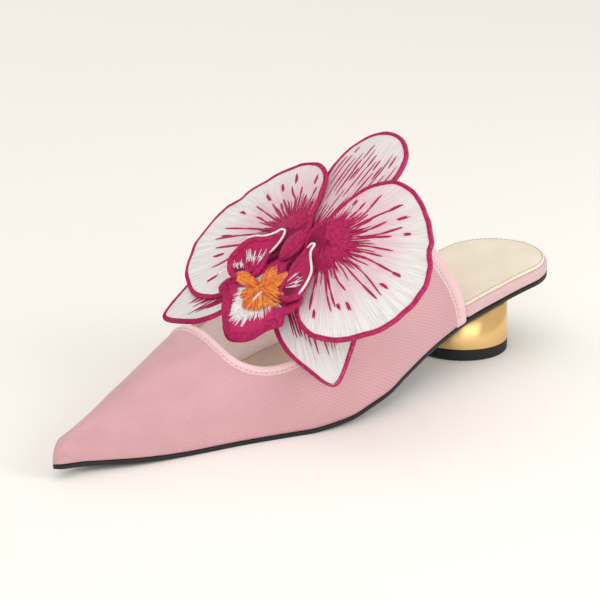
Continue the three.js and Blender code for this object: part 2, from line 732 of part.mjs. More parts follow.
function stitchPad() {
  const bandUnder = (across, up) => {
    let low = -UPPER_SEPAL_LENGTH / 2;
    let high = 0;
    for (let k = 0; k < HALVINGS; k += 1) {
      const out = (low + high) / 2;
      const p = flowerPoint(across, up, out);
      if (p.z < upperTop(p.x, p.y) + BAND_CLEAR) low = out;
      else high = out;
    }
    return high;
  };
  const spots = Array.from({ length: PAD_SIDES }, (_, k) => {
    const turn = (2 * Math.PI * k) / PAD_SIDES;
    return {
      across: PAD_CENTRE.across + STITCH_PAD_RADIUS * Math.cos(turn),
      up: PAD_CENTRE.up + STITCH_PAD_RADIUS * Math.sin(turn),
    };
  });
  const inTo = (share) => (s) => ({
    across: PAD_CENTRE.across + (s.across - PAD_CENTRE.across) * share,
    up: PAD_CENTRE.up + (s.up - PAD_CENTRE.up) * share,
  });
  const top = (s) => flowerPoint(s.across, s.up, upperSepalHeight(s.across, s.up) - PAD_SINK);
  const low = (s) => flowerPoint(s.across, s.up, bandUnder(s.across, s.up));
  const inner = spots.map(inTo(0.5));
  return skin([inner.map(low), spots.map(low), spots.map(top), inner.map(top)]);
}

// A lower sepal points along its own direction, droops by the end of it and turns its rims up a little
function lowerSepal(side, { turn, reach, droop, cup }) {
  const length = LOWER_SEPAL_REACH * reach;
  const half = LOWER_SEPAL_WIDTH / 2;
  const angle = THREE.MathUtils.degToRad(turn);
  const place = (across, up) => ({
    across: side * (up * length * Math.sin(angle) + across * half * Math.cos(angle)),
    up: -up * length * Math.cos(angle) + across * half * Math.sin(angle),
  });
  const height = (across, up) => {
    const out = Math.hypot(across, up) / length;
    const off = (side * across * Math.cos(angle) + up * Math.sin(angle)) / half;
    const bend = droop * LOWER_SEPAL_REACH * out ** 3;
    return fall(across) - LAYER - bend + cup * LOWER_SEPAL_WIDTH * off * off * out;
  };
  return petal(LOWER_SEPAL_OUTLINE, place, height);
}

const OUTER_SEPAL = { turn: 40.5, reach: 1.06, droop: 0.2458, cup: 0.0686 };
const INNER_SEPAL = { turn: 45, reach: 1.22, droop: 0, cup: 0 };

// The lip's height over the flower's middle, as shares of its length
const LIP_ARCH = [
  { along: 0, out: 0.0333 }, { along: 0.12, out: 0.0352 }, { along: 0.42, out: 0.0481 },
  { along: 0.62, out: 0.0556 }, { along: 0.82, out: 0.0481 }, { along: 1, out: 0.0148 },
];
const LIP_FALL = 0.9;

const lipHeight = (across, up) => {
  const off = across / (LIP_WIDTH / 2);
  return read(LIP_ARCH, 'out', -up / LIP_LENGTH) * LIP_LENGTH - LIP_FALL * off * off;
};

function lip() {
  const place = (across, up) => ({ across: (across * LIP_WIDTH) / 2, up: -up * LIP_LENGTH });
  return petal(LIP_OUTLINE, place, lipHeight);
}

const LOBE_SEAT = 0.25;

// A side lobe stands over the lip's shoulder and rises to its outer rim
function lipLobe(side, rise) {
  const place = (across, up) => ({ across: side * across * LOBE_SPREAD, up: up * LOBE_SPREAD });
  const height = (across, up) => {
    const share = Math.max(Math.abs(across) / LOBE_SPREAD - LOBE_SEAT, 0);
    return lipHeight(across, up) + LAYER + rise * share * Math.sqrt(share);
  };
  return petal(LOBE_OUTLINE, place, height);
}

const COLUMN_DROP = 1.1;
const COLUMN_SIDES = 16;
const COLUMN_RINGS = 10;

// The column lies over the root of the lip
function column() {
  const ball = new THREE.SphereGeometry(1, COLUMN_SIDES, COLUMN_RINGS);
  const position = ball.attributes.position;
  const points = [];
  for (let k = 0; k < position.count; k += 1) {
    const p = new THREE.Vector3().fromBufferAttribute(position, k);
    const up = (p.y - COLUMN_DROP) * (COLUMN_LENGTH / 2);
    const out = (COLUMN_WIDTH / 2) * (p.z + 1) + lipHeight(0, up) + GAP;
    points.push(flowerPoint((p.x * COLUMN_WIDTH) / 2, up, out));
  }
  const faces = [];
  for (let k = 0; k < ball.index.count; k += 3) {
    faces.push([ball.index.getX(k), ball.index.getX(k + 1), ball.index.getX(k + 2)]);
  }
  return outward(points, faces);
}

// Finishes of the pieces
const finish = (color, roughness, metalness = 0) => new THREE.MeshStandardMaterial({ color, roughness, metalness });
const PINK_MESH = finish(0xe5b4bc, 0.85);
const PINK_SATIN = finish(0xe9bcc3, 0.5);
const BLACK = finish(0x1a1718, 0.6);
const BEIGE = finish(0xeadecb, 0.7);
const GOLD = finish(0xe3b45c, 0.22, 1);
const PETAL_WHITE = finish(0xf4e9ee, 0.75);
const LIP_MAGENTA = finish(0xb8286a, 0.7);

const shoe = new THREE.Group();

function add(name, geometry, material) {
  const mesh = new THREE.Mesh(geometry, material);
  mesh.name = name;
  shoe.add(mesh);
}

add('heel_tip', heelTip(), BLACK);
add('heel_block', heelBlock(), GOLD);
add('outsole', outsole(), BLACK);
add('insole_board', board(), PINK_SATIN);
add('insole_sock', sock(), BEIGE);
add('upper', upper(), PINK_MESH);
add('throat_tape', throatTape(), PINK_SATIN);
add('rear_tape', rearTape(), PINK_SATIN);
add('sepal_upper', upperSepal(), PETAL_WHITE);
add('sepal_outer', lowerSepal(1, OUTER_SEPAL), PETAL_WHITE);
add('sepal_inner', lowerSepal(-1, INNER_SEPAL), PETAL_WHITE);
add('petal_outer', sidePetal(1), PETAL_WHITE);
add('petal_inner', sidePetal(-1), PETAL_WHITE);
add('lip', lip(), LIP_MAGENTA);
add('lip_lobe_outer', lipLobe(1, OUTER_LOBE_LIFT), LIP_MAGENTA);
add('lip_lobe_inner', lipLobe(-1, INNER_LOBE_LIFT), LIP_MAGENTA);
add('column', column(), LIP_MAGENTA);

export default shoe;
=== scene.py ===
# %% [markdown]
# A pointed mule with a layered orchid.
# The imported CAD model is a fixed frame: its pieces say where everything is, and never move.
# This lesson dresses each of them with a finer piece that keeps the same place and the same size.

# %% The fixed frame
import functools
import math
import random

import bmesh
import bpy
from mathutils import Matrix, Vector, noise


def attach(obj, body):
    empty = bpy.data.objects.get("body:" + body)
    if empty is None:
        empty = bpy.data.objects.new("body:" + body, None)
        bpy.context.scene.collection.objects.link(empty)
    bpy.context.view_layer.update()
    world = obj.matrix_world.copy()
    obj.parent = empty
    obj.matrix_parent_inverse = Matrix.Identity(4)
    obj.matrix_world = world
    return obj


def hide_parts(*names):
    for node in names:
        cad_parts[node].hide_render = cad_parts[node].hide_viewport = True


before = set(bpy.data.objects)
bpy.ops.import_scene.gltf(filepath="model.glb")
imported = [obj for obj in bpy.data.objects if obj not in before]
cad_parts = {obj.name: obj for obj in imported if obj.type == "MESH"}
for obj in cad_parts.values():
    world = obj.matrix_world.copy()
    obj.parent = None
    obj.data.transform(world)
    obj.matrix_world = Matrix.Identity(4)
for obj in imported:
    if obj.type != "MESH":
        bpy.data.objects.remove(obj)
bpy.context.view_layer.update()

MM = 0.001


# %% [markdown]
# A shoe is built on a last, a solid foot shape, and every cloth piece follows it.
# The last can be drawn by hand with curves, or written as a few tables of shares of named sizes.
# Tables are used here, because the same numbers then place the vamp, the tapes, the sole and the stitches.

# %% Sizes of the last, in millimetres
SHOE_LENGTH = 266
MID_BALL = 37.5
MID_SEAT = 27.2
SEAT_LENGTH = 25.4
SEAT_RISE = 28
TOE_SPRING = 4.2
TOE_RADIUS = 4
INSTEP_DEPTH = 65
SECTION_POWER = 2.1
SIDE_BULGE = 2
OUTSOLE = 1.8
BOARD = 5
SEAM = 0.3
EASE = 0.1
WALL = 1.3
HEEL_RADIUS = 21.8
BACK_Y = 44.7
TOE_Y = BACK_Y - SHOE_LENGTH


def table(columns, *rows):
    names = columns.split()
    return [dict(zip(names, row)) for row in rows]


OUTLINE = table(
    "along outer inner seat",
    (0, -0.1, 0.22, 0), (0.037, -0.06, 0.26, 0), (0.065, 0.02, 0.32, 0),
    (0.118, 0.185, 0.493, 0), (0.193, 0.345, 0.7, 0), (0.268, 0.5, 0.893, 0),
    (0.343, 0.69, 1.027, 0), (0.388, 0.81, 1.08, 0), (0.456, 0.9, 1.04, 0),
    (0.512, 0.9, 0.96, 0), (0.569, 0.7, 0.7, 0.17), (0.625, 0.44, 0.4, 0.42),
    (0.682, 0.22, 0.17, 0.65), (0.757, 0.03, 0.01, 0.9), (0.832, 0, -0.02, 1), (1, 0, 0, 1),
)
UNDERSIDE = table(
    "along rise spring",
    (0, 0, 1), (0.05, 0, 0.66), (0.118, 0, 0.3), (0.17, 0, 0.06), (0.2, 0, 0), (0.36, 0, 0),
    (0.437, 0.065, 0), (0.494, 0.18, 0), (0.558, 0.335, 0), (0.625, 0.505, 0), (0.69, 0.67, 0),
    (0.757, 0.85, 0), (0.795, 0.935, 0), (0.832, 1, 0), (0.892, 1.07, 0), (1, 1.17, 0),
)
RIDGE = table(
    "along depth",
    (0, 0.12), (0.009, 0.14), (0.0275, 0.175), (0.08, 0.288), (0.14, 0.405), (0.204, 0.523),
    (0.264, 0.622), (0.343, 0.76), (0.437, 0.935), (0.53, 0.99), (0.588, 1), (0.73, 1.03), (1, 1.05),
)
PLATFORM = table(
    "along thick",
    (0, 0.22), (0.12, 0.3), (0.3, 0.5), (0.5, 0.7), (0.743, 1), (0.763, 1), (1, 1),
)
REAR_LOW, REAR_TOP, REAR_SWEEP = 0.736, 0.594, 1.45
THROAT = table(
    "along around",
    (0.266, 0.47), (0.268, 0.585), (0.272, 0.67), (0.292, 0.75), (0.33, 0.785), (0.385, 0.785),
    (0.425, 0.73), (0.446, 0.62), (0.451, 0.5), (0.446, 0.38), (0.425, 0.27), (0.385, 0.205),
    (0.345, 0.19), (0.308, 0.208), (0.281, 0.262), (0.269, 0.35),
)
print("last:", SHOE_LENGTH, "mm long,", 2 * MID_BALL, "mm over the ball")


# %% Reading a table smoothly
def bent(a, b, lean_a, lean_b, s):
    """The smooth step from a to b that leaves and arrives with the leans given."""
    return (a * (1 + 2 * s) * (1 - s) ** 2 + b * s * s * (3 - 2 * s)
            + lean_a * s * (1 - s) ** 2 - lean_b * s * s * (1 - s))


def read(rows, column, along):
    if along <= rows[0]["along"]:
        return rows[0][column]
    if along >= rows[-1]["along"]:
        return rows[-1][column]

    def slope(k):
        return (rows[k + 1][column] - rows[k][column]) / (rows[k + 1]["along"] - rows[k]["along"])

    def tangent(k):
        if k == 0:
            return slope(0)
        if k == len(rows) - 1:
            return slope(k - 1)
        before, after = slope(k - 1), slope(k)
        return 0 if before * after <= 0 else 2 * before * after / (before + after)

    k = 0
    while rows[k + 1]["along"] < along:
        k += 1
    width = rows[k + 1]["along"] - rows[k]["along"]
    share = (along - rows[k]["along"]) / width
    return bent(rows[k][column], rows[k + 1][column], tangent(k) * width, tangent(k + 1) * width, share)


# %% The last's surface
def y_at(along):
    return TOE_Y + along * SHOE_LENGTH


def along_at(y):
    return (y - TOE_Y) / SHOE_LENGTH


def round_end(distance, radius):
    left = 1 - min(max(distance / radius, 0), 1)
    return math.sqrt(1 - left * left)


@functools.cache
def sole_plan(y, inset=0):
    along = along_at(y)
    seat = read(OUTLINE, "seat", along) * MID_SEAT
    outer = read(OUTLINE, "outer", along) * MID_BALL + seat
    inner = read(OUTLINE, "inner", along) * MID_BALL + seat
    ends = round_end(y - TOE_Y, TOE_RADIUS) * round_end(BACK_Y - inset - y, SEAT_LENGTH - inset)
    return (outer - inner) / 2, max((outer + inner) / 2 - inset, 0) * ends


@functools.cache
def underside(y):
    along = along_at(y)
    return read(UNDERSIDE, "rise", along) * SEAT_RISE + read(UNDERSIDE, "spring", along) * TOE_SPRING


def footbed(y):
    return underside(y) + OUTSOLE + SEAM


def board_top(y):
    return footbed(y) + BOARD * read(PLATFORM, "thick", along_at(y))


@functools.cache
def last_half(y):
    along = along_at(y)
    seat = read(OUTLINE, "seat", along) * 2 * MID_SEAT
    ball = (read(OUTLINE, "outer", along) + read(OUTLINE, "inner", along)) * MID_BALL
    return ((ball + seat) / 2 - EASE) * round_end(y - TOE_Y, TOE_RADIUS)


@functools.cache
def last_depth(y):
    return read(RIDGE, "depth", along_at(y)) * INSTEP_DEPTH * round_end(y - TOE_Y, TOE_RADIUS)


def last_point(y, around):
    angle = math.pi * min(max(around, 0), 1)
    rise = max(math.sin(angle), 0) ** (2 / SECTION_POWER)
    side = 1 if angle < math.pi / 2 else -1
    run = abs(math.cos(angle)) ** (2 / SECTION_POWER)
    half = last_half(y)
    bulge = SIDE_BULGE * min(half / MID_BALL, 1) * 4 * rise * (1 - rise)
    return Vector((sole_plan(y)[0] + side * (half * run + bulge), y, footbed(y) + last_depth(y) * rise))


def last_frame(y, around):
    dy, da = 0.05, 0.0005
    low, high = max(around - da, 0), min(around + da, 1)
    lengthwise = (last_point(y + dy, around) - last_point(y - dy, around)) / (2 * dy)
    across = (last_point(y, high) - last_point(y, low)) / (high - low)
    normal = lengthwise.cross(across).normalized()
    up = normal.z if abs(normal.z) > 0.2 else normal.x * (1 if around < 0.5 else -1)
    return lengthwise, across, -normal if up < 0 else normal


def lifted(y, around, height):
    return last_point(y, around) + last_frame(y, around)[2] * height


print("instep top at", [round(c, 1) for c in last_point(y_at(0.5), 0.5)])


# %% [markdown]
# Most pieces of a shoe are flat goods bent over something.
# A flat grid is made once for each of them, its UV map keeps the flat millimetres of the cloth, and
# every point is then carried to its place on the last.
# The weave later reads that UV map, so it follows the surface as real cloth does.

# %% Carrying a flat grid to its place
MERGE_WITHIN = 2e-6


def carried(name, columns, rows, place, flat=(1, 1), loop=False, tube=False, closed=True, outside=None):
    """place(u, v) gives millimetres, and edges that meet there are merged. A closed piece has its open
    ends filled, unless it is both a loop and a tube, which has none."""
    bm = bmesh.new()
    bmesh.ops.create_grid(bm, x_segments=columns, y_segments=rows, size=0.5)
    sheet = bm.loops.layers.uv.new("cloth")
    for face in bm.faces:
        face.smooth = True
        for corner in face.loops:
            u, v = corner.vert.co.x + 0.5, corner.vert.co.y + 0.5
            if callable(flat):
                corner[sheet].uv = flat(u, v)
            else:
                corner[sheet].uv = (u * flat[0], v * flat[1])
    for vert in bm.verts:
        vert.co = place(vert.co.x + 0.5, vert.co.y + 0.5) * MM
    bmesh.ops.remove_doubles(bm, verts=bm.verts, dist=MERGE_WITHIN)
    if closed and not (loop and tube):
        bmesh.ops.holes_fill(bm, edges=[e for e in bm.edges if e.is_boundary], sides=0)
    if closed:
        bmesh.ops.recalc_face_normals(bm, faces=bm.faces)
    elif outside is not None:
        bm.normal_update()
        if sum(f.normal.dot(outside) * f.calc_area() for f in bm.faces) < 0:
            bmesh.ops.reverse_faces(bm, faces=bm.faces)
    return finished(name, bm)


def finished(name, bm):
    mesh = bpy.data.meshes.new(name)
    bm.to_mesh(mesh)
    bm.free()
    piece = bpy.data.objects.new(name, mesh)
    bpy.context.scene.collection.objects.link(piece)
    print(name, len(mesh.polygons), "faces")
    return piece


def dressed(piece, material, replaces=()):
    for each in material if isinstance(material, (list, tuple)) else [material]:
        piece.data.materials.append(each)
    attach(piece, "root")
    if replaces:
        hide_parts(*replaces)
    return piece


# %% [markdown]
# A finish is a small graph of nodes.
# The helpers below add a node with its inputs in one line, mix two colours, and make soft thresholds.
# Numbers that are the same all over a surface are set on the shader's own sockets.

# %% Node helpers
def finish(name, colour, roughness, **sockets):
    material = bpy.data.materials.new(name)
    material.use_nodes = True
    shader = material.node_tree.nodes["Principled BSDF"]
    shader.inputs["Base Color"].default_value = (*colour, 1)
    shader.inputs["Roughness"].default_value = roughness
    for key, value in sockets.items():
        shader.inputs[key.replace("_", " ")].default_value = value
    material.diffuse_color = (*colour, 1)
    return material


def put(material, kind, inputs=(), **settings):
    made = material.node_tree.nodes.new("ShaderNode" + kind)
    for key, value in settings.items():
        setattr(made, key, value)
    for key, value in inputs.items() if isinstance(inputs, dict) else enumerate(inputs):
        if isinstance(value, bpy.types.NodeSocket):
            material.node_tree.links.new(value, made.inputs[key])
        elif value is not None:
            made.inputs[key].default_value = value
    return made


def mixed(material, factor, first, second):
    a, b = ((*c, 1) if isinstance(c, tuple) else c for c in (first, second))
    return put(material, "Mix", {0: factor, 6: a, 7: b}, data_type="RGBA").outputs[2]


def between(material, value, low, high, to_low=0.0, to_high=1.0):
    inputs = [value, low, high, to_low, to_high]
    return put(material, "MapRange", inputs, interpolation_type="SMOOTHSTEP").outputs[0]


def maths(material, operation, *values):
    return put(material, "Math", values, operation=operation).outputs[0]


def cloth_place(material, scale=(1, 1, 1), turn=0.0):
    uv = put(material, "UVMap", uv_map="cloth").outputs[0]
    return put(material, "Mapping", {"Vector": uv, "Scale": scale, "Rotation": (0, 0, turn)}).outputs[0]


def object_place(material, scale=(1, 1, 1)):
    where = put(material, "TexCoord").outputs["Object"]
    return put(material, "Mapping", {"Vector": where, "Scale": scale}).outputs[0]


def speckle(material, where, scale, detail=2.0, roughness=0.5):
    inputs = {"Vector": where, "Scale": scale, "Detail": detail, "Roughness": roughness}
    return put(material, "TexNoise", inputs).outputs[0]


def stripes(material, where, scale):
    inputs = {"Vector": where, "Scale": scale, "Distortion": 0.0, "Detail": 0.0}
    made = put(material, "TexWave", inputs, wave_type="BANDS", bands_direction="X", wave_profile="SIN")
    return made.outputs[1]


def driven(material, name, socket):
    """Joins a socket to the shader's input of that name."""
    material.node_tree.links.new(socket, material.node_tree.nodes["Principled BSDF"].inputs[name])


def embossed(material, height, strength, distance):
    bump = put(material, "Bump", {"Height": height, "Strength": strength, "Distance": distance})
    driven(material, "Normal", bump.outputs[0])


# %% [markdown]
# The vamp is a fine pink net over a smooth backing.
# A wave texture's bands repeat every 0.314 / scale units, and two crossed ones make the net's meshes.
# Its holes show a slightly deeper pink, and a broad noise keeps the cloth from looking printed.

# %% Pink net, its lining and the satin of the tapes
NET_PITCH = 0.8
WAVE_UNIT = 0.314


def rgb(code):
    """A colour as seen on a screen, turned into the linear numbers that shaders use."""
    parts = (int(code[k:k + 2], 16) / 255 for k in (0, 2, 4))
    return tuple(c / 12.92 if c <= 0.04045 else ((c + 0.055) / 1.055) ** 2.4 for c in parts)


def woven(name, thread, gap, pitch, turn, strength, roughness, **sockets):
    thread, gap = rgb(thread), rgb(gap)
    made = finish(name, thread, roughness, **sockets)
    first = stripes(made, cloth_place(made, turn=turn), WAVE_UNIT / pitch)
    second = stripes(made, cloth_place(made, turn=turn + math.pi / 2), WAVE_UNIT / pitch)
    threads = maths(made, "MAXIMUM", first, second)
    cloud = speckle(made, cloth_place(made), 0.05, 3.0)
    light = mixed(made, between(made, cloud, 0.3, 0.7), thread, tuple(0.9 * c for c in thread))
    driven(made, "Base Color", mixed(made, between(made, threads, 0.25, 0.8), gap, light))
    embossed(made, maths(made, "ADD", threads, maths(made, "MULTIPLY", cloud, 0.6)), strength, 0.0002)
    return made


net = woven("pink_net", "d2a4aa", "c18b91", NET_PITCH, math.radians(45), 0.35, 0.75,
            Sheen_Weight=0.15, Sheen_Roughness=0.5)
lining = woven("pale_lining", "fbeeec", "f2dedd", 0.7, 0.0, 0.25, 0.8,
               Subsurface_Weight=0.85, Subsurface_Radius=(1, 0.8, 0.8), Subsurface_Scale=0.004)
satin = woven("pink_satin", "e7c6c8", "d9b1b4", 0.45, math.radians(90), 0.3, 0.42,
              Sheen_Weight=0.2, Sheen_Roughness=0.3)
wrap = woven("pink_wrap", "d8b7b9", "cba5a8", 0.6, math.radians(20), 0.2, 0.5,
             Sheen_Weight=0.2, Sheen_Roughness=0.4)
print("cloths:", net.name, lining.name, satin.name, wrap.name)


# %% [markdown]
# The threads of stitches and embroidery are rayon: smooth, a little glossy, each a shade off its neighbour.

# %% Threads
FIBRE = 700.0


def thread(name, light, dark, gloss=0.4):
    light, dark = rgb(light), rgb(dark)
    made = finish(name, light, 0.45, Specular_IOR_Level=gloss)
    shade = between(made, speckle(made, object_place(made), FIBRE, 2.0), 0.32, 0.68)
    driven(made, "Base Color", mixed(made, shade, dark, light))
    embossed(made, speckle(made, object_place(made), 3 * FIBRE, 2.0), 0.3, 0.0001)
    return made


pink_thread = thread("pink_thread", "d8a3a8", "c48990")
brown_thread = thread("brown_thread", "b07c6c", "8a5a50")
magenta_thread = thread("magenta_thread", "bb2862", "9f1b50", gloss=0.16)
white_thread = thread("white_thread", "eeebec", "dbd2d6")
orange_thread = thread("orange_thread", "f0953b", "da7327")
deep_orange_thread = thread("deep_orange_thread", "d9682c", "b8491f")
print("threads ready")


# %% [markdown]
# Leather for the sock and the sole, rubber for the heel tip, and a polished gold plating for the heel.

# %% Leather, rubber and gold
def grained(name, light, dark, pore, strength, roughness, **sockets):
    light, dark = rgb(light), rgb(dark)
    made = finish(name, light, roughness, **sockets)
    where = object_place(made)
    pores = put(made, "TexVoronoi", {"Vector": where, "Scale": pore}, feature="F1").outputs[0]
    cloud = speckle(made, where, 45.0, 4.0)
    fine = speckle(made, where, 2.2 * pore, 3.0)
    driven(made, "Base Color", mixed(made, between(made, cloud, 0.3, 0.72), dark, light))
    driven(made, "Roughness", between(made, fine, 0.2, 0.8, roughness - 0.08, roughness + 0.12))
    embossed(made, maths(made, "ADD", pores, fine), strength, 0.0002)
    return made


sock_leather = grained("beige_leather", "ebe1d1", "e1d5bf", 900.0, 0.35, 0.55)
sole_leather = grained("black_sole", "1c191a", "0f0d0e", 700.0, 0.4, 0.5)
tip_rubber = grained("black_rubber", "181617", "0e0d0d", 1300.0, 0.5, 0.62)

gold = finish("gold_plate", rgb("eec88c"), 0.2, Metallic=1.0)
brushed = speckle(gold, object_place(gold, (900, 900, 6)), 1.0, 3.0)
soft_spots = speckle(gold, object_place(gold), 60.0, 2.0)
driven(gold, "Roughness", between(gold, maths(gold, "ADD", brushed, soft_spots), 0.7, 1.3, 0.21, 0.27))
driven(gold, "Base Color", mixed(gold, between(gold, soft_spots, 0.3, 0.7), rgb("e9bf80"), rgb("f1cc8e")))
embossed(gold, brushed, 0.006, 0.0001)
print("hard finishes ready")


# %% [markdown]
# The vamp and the instep band are one piece of net, lasted over the toe and tucked under at the sole.
# It starts as a grid over the last. The faces inside the cut-out are taken away, and a Solidify modifier
# gives the cloth its wall, with the lining as the second material inside.
# The ragged rim of the cut-out ends inside its tape, as the raw edge of real cloth does.

# %% Lines on the last: the rear edge and the cut-out
def rear_edge(around):
    rise = max(math.sin(math.pi * min(max(around, 0), 1)), 0) ** (2 / SECTION_POWER)
    return y_at(REAR_LOW + (REAR_TOP - REAR_LOW) * rise ** REAR_SWEEP)


@functools.cache
def before_rear_edge(around, distance):
    around = min(max(around, 0), 1)
    y = rear_edge(around)
    low, high = max(around - 0.004, 0), min(around + 0.004, 1)
    lengthwise, across, _ = last_frame(y, around)
    slant = lengthwise.length * (rear_edge(high) - rear_edge(low)) / (high - low) / across.length
    return y - distance * math.hypot(1, slant) / lengthwise.length


FINE = 24


def smooth_loop(marks, count):
    """A closed curve through flat marks, as points at equal steps."""
    size = len(marks)
    dense = []
    for k in range(size):
        p = [Vector(marks[(k + j - 1) % size]) for j in range(4)]
        step = [max((p[j + 1] - p[j]).length ** 0.5, 1e-6) for j in range(3)]
        leans = [((p[j + 1] - p[j]) / step[j] - (p[j + 2] - p[j]) / (step[j] + step[j + 1])
                  + (p[j + 2] - p[j + 1]) / step[j + 1]) * step[1] for j in (0, 1)]
        dense += [bent(p[1], p[2], *leans, j / FINE) for j in range(FINE)]
    return spaced(dense + dense[:1], count)[:-1]


def run_of(line):
    return sum((b - a).length for a, b in zip(line, line[1:]))


def spaced(line, count):
    """The same line as count equal steps."""
    lengths = [0.0]
    for a, b in zip(line, line[1:]):
        lengths.append(lengths[-1] + (b - a).length)
    made, k = [], 0
    for j in range(count + 1):
        want = lengths[-1] * j / count
        while k < len(line) - 2 and lengths[k + 1] < want:
            k += 1
        made.append(line[k].lerp(line[k + 1], (want - lengths[k]) / max(lengths[k + 1] - lengths[k], 1e-9)))
    return made


AROUND_SCALE = 130
THROAT_STEPS = 220
THROAT_MIDDLE = (0.355, 0.48)
throat_line = smooth_loop([(y_at(m["along"]), m["around"] * AROUND_SCALE) for m in THROAT], THROAT_STEPS)


def throat_loop(distance):
    """The cut-out's edge as (y, around), moved out over the surface by a distance."""
    centre = last_point(y_at(THROAT_MIDDLE[0]), THROAT_MIDDLE[1])
    moved = []
    for k, p in enumerate(throat_line):
        y, around = p.x, p.y / AROUND_SCALE
        ahead, behind = throat_line[(k + 1) % THROAT_STEPS], throat_line[k - 1]
        lengthwise, across, normal = last_frame(y, around)
        tangent = lengthwise * (ahead.x - behind.x) + across * ((ahead.y - behind.y) / AROUND_SCALE)
        out = normal.cross(tangent).normalized()
        if out.dot(last_point(y, around) - centre) < 0:
            out = -out
        aa, bb, ab = lengthwise.length_squared, across.length_squared, lengthwise.dot(across)
        oa, ob = out.dot(lengthwise), out.dot(across)
        scale = distance / (aa * bb - ab * ab)
        moved.append((y + (oa * bb - ob * ab) * scale, around + (ob * aa - oa * ab) * scale))
    return moved


rim = [last_point(spot.x, spot.y / AROUND_SCALE) for spot in throat_line]
print("cut-out:", round(run_of(rim + rim[:1]), 1), "mm round")

# %% The vamp's net
TUCK = 0.018
TUCK_REACH = 2.2
VAMP_COLUMNS, VAMP_ROWS = 170, 132
VAMP_CLOTH = (165, 130)
NET_SHORT_OF_EDGE = 3.0
RIM_HIDDEN = 1.9
RUFFLE = 0.14
CALM_TOE = 30


def tucked(v):
    """The share of the way round the last, with a little more at either side to tuck under."""
    return v * (1 + 2 * TUCK) - TUCK


def vamp_place(u, v):
    around = tucked(v)
    reach = before_rear_edge(around, NET_SHORT_OF_EDGE)
    share = 1 - math.cos(math.pi / 2 * u)
    y = TOE_Y + (reach - TOE_Y) * share
    spot = last_point(y, around)
    under = max(-around, around - 1, 0) / TUCK
    if under > 0:
        middle = sole_plan(y)[0]
        spot.x += (middle - spot.x) * min(TUCK_REACH * under / max(last_half(y), TUCK_REACH), 0.9)
        spot.z -= SEAM * math.sin(under * math.pi / 2)
    else:
        broad = noise.noise(Vector((y / 26, around * 4.5, 0.3)))
        fine = noise.noise(Vector((y / 11, around * 9, 4.7)))
        spot += last_frame(y, around)[2] * RUFFLE * (broad + 0.5 * fine) * round_end(y - TOE_Y, CALM_TOE)
    return spot


def inside(spot, loop):
    hit = False
    for (ay, ar), (by, br) in zip(loop, loop[1:] + loop[:1]):
        if (ar > spot[1]) != (br > spot[1]) and spot[0] < (by - ay) * (spot[1] - ar) / (br - ar) + ay:
            hit = not hit
    return hit


vamp = carried("vamp_net", VAMP_COLUMNS, VAMP_ROWS, vamp_place, flat=VAMP_CLOTH, closed=False,
               outside=Vector((0, 0, 1)))
hole = throat_loop(RIM_HIDDEN)
hole_low, hole_high = min(p[0] for p in hole), max(p[0] for p in hole)
bm = bmesh.new()
bm.from_mesh(vamp.data)
sheet = bm.loops.layers.uv["cloth"]
gone = []
for face in bm.faces:
    v = sum(c[sheet].uv.y for c in face.loops) / len(face.loops) / VAMP_CLOTH[1]
    y = face.calc_center_median().y / MM
    if hole_low < y < hole_high and inside((y, tucked(v)), hole):
        gone.append(face)
bmesh.ops.delete(bm, geom=gone, context="FACES")
bm.to_mesh(vamp.data)
bm.free()
wall = vamp.modifiers.new("wall", "SOLIDIFY")
wall.thickness, wall.offset, wall.material_offset = WALL * MM, -1, 1
wall.material_offset_rim = 1
dressed(vamp, [net, lining], ["upper"])
print("vamp:", len(gone), "faces cut away for the throat")


# %% [markdown]
# A tape is a flat ribbon folded over the raw edge and stitched through.
# Its section is a rounded oblong. It is swept along the edge by carrying a grid whose short side runs
# round the section. A groove takes the row of stitches.

# %% The two tapes
TAPE_PROUD = 0.35
THROAT_TAPE, REAR_TAPE = 3.8, 6.4
SECTION_SIDES = 30
TAPE_CROWN, TAPE_POWER = 0.3, 4.5
GROOVE_DEPTH, GROOVE_WIDTH = 0.3, 0.4


def tape_section(width, share, groove):
    """(distance from the edge, height over the cloth) at a share of the way round the section."""
    turn = 2 * math.pi * share
    c, s = math.cos(turn), math.sin(turn)
    power = 2 / TAPE_POWER
    half, deep = width / 2, (WALL + 2 * TAPE_PROUD) / 2
    from_edge = half - half * math.copysign(abs(c) ** power, c)
    height = -WALL / 2 + deep * math.copysign(abs(s) ** power, s)
    if s > 0:
        height -= GROOVE_DEPTH * math.exp(-((from_edge - groove) / GROOVE_WIDTH) ** 2)
        height += TAPE_CROWN * math.sin(math.pi * from_edge / width)
    return from_edge, height


THROAT_GROOVE, REAR_GROOVE = THROAT_TAPE - 1.0, REAR_TAPE - 1.5
rings = []
for k in range(SECTION_SIDES):
    from_edge, height = tape_section(THROAT_TAPE, k / SECTION_SIDES, THROAT_GROOVE)
    rings.append([lifted(y, around, height) for y, around in throat_loop(from_edge)])


def throat_tape_place(u, v):
    ring = rings[round(v * SECTION_SIDES) % SECTION_SIDES]
    return ring[round(u * THROAT_STEPS) % THROAT_STEPS].copy()


throat_tape = carried("throat_binding", THROAT_STEPS, SECTION_SIDES, throat_tape_place, flat=(250, 12),
                      loop=True, tube=True)
dressed(throat_tape, satin, ["throat_tape"])

REAR_STEPS, TAPE_END = 150, 0.01


def rear_tape_place(u, v):
    around = min(max(u * (1 + 2 * TAPE_END) - TAPE_END, 0), 1)
    from_edge, height = tape_section(REAR_TAPE, (v + 0.5) % 1, REAR_GROOVE)
    y = before_rear_edge(around, from_edge)
    spot = lifted(y, around, height)
    if around in (0, 1):
        spot.z = footbed(y) - (SEAM if u in (0, 1) else 0)
    return spot


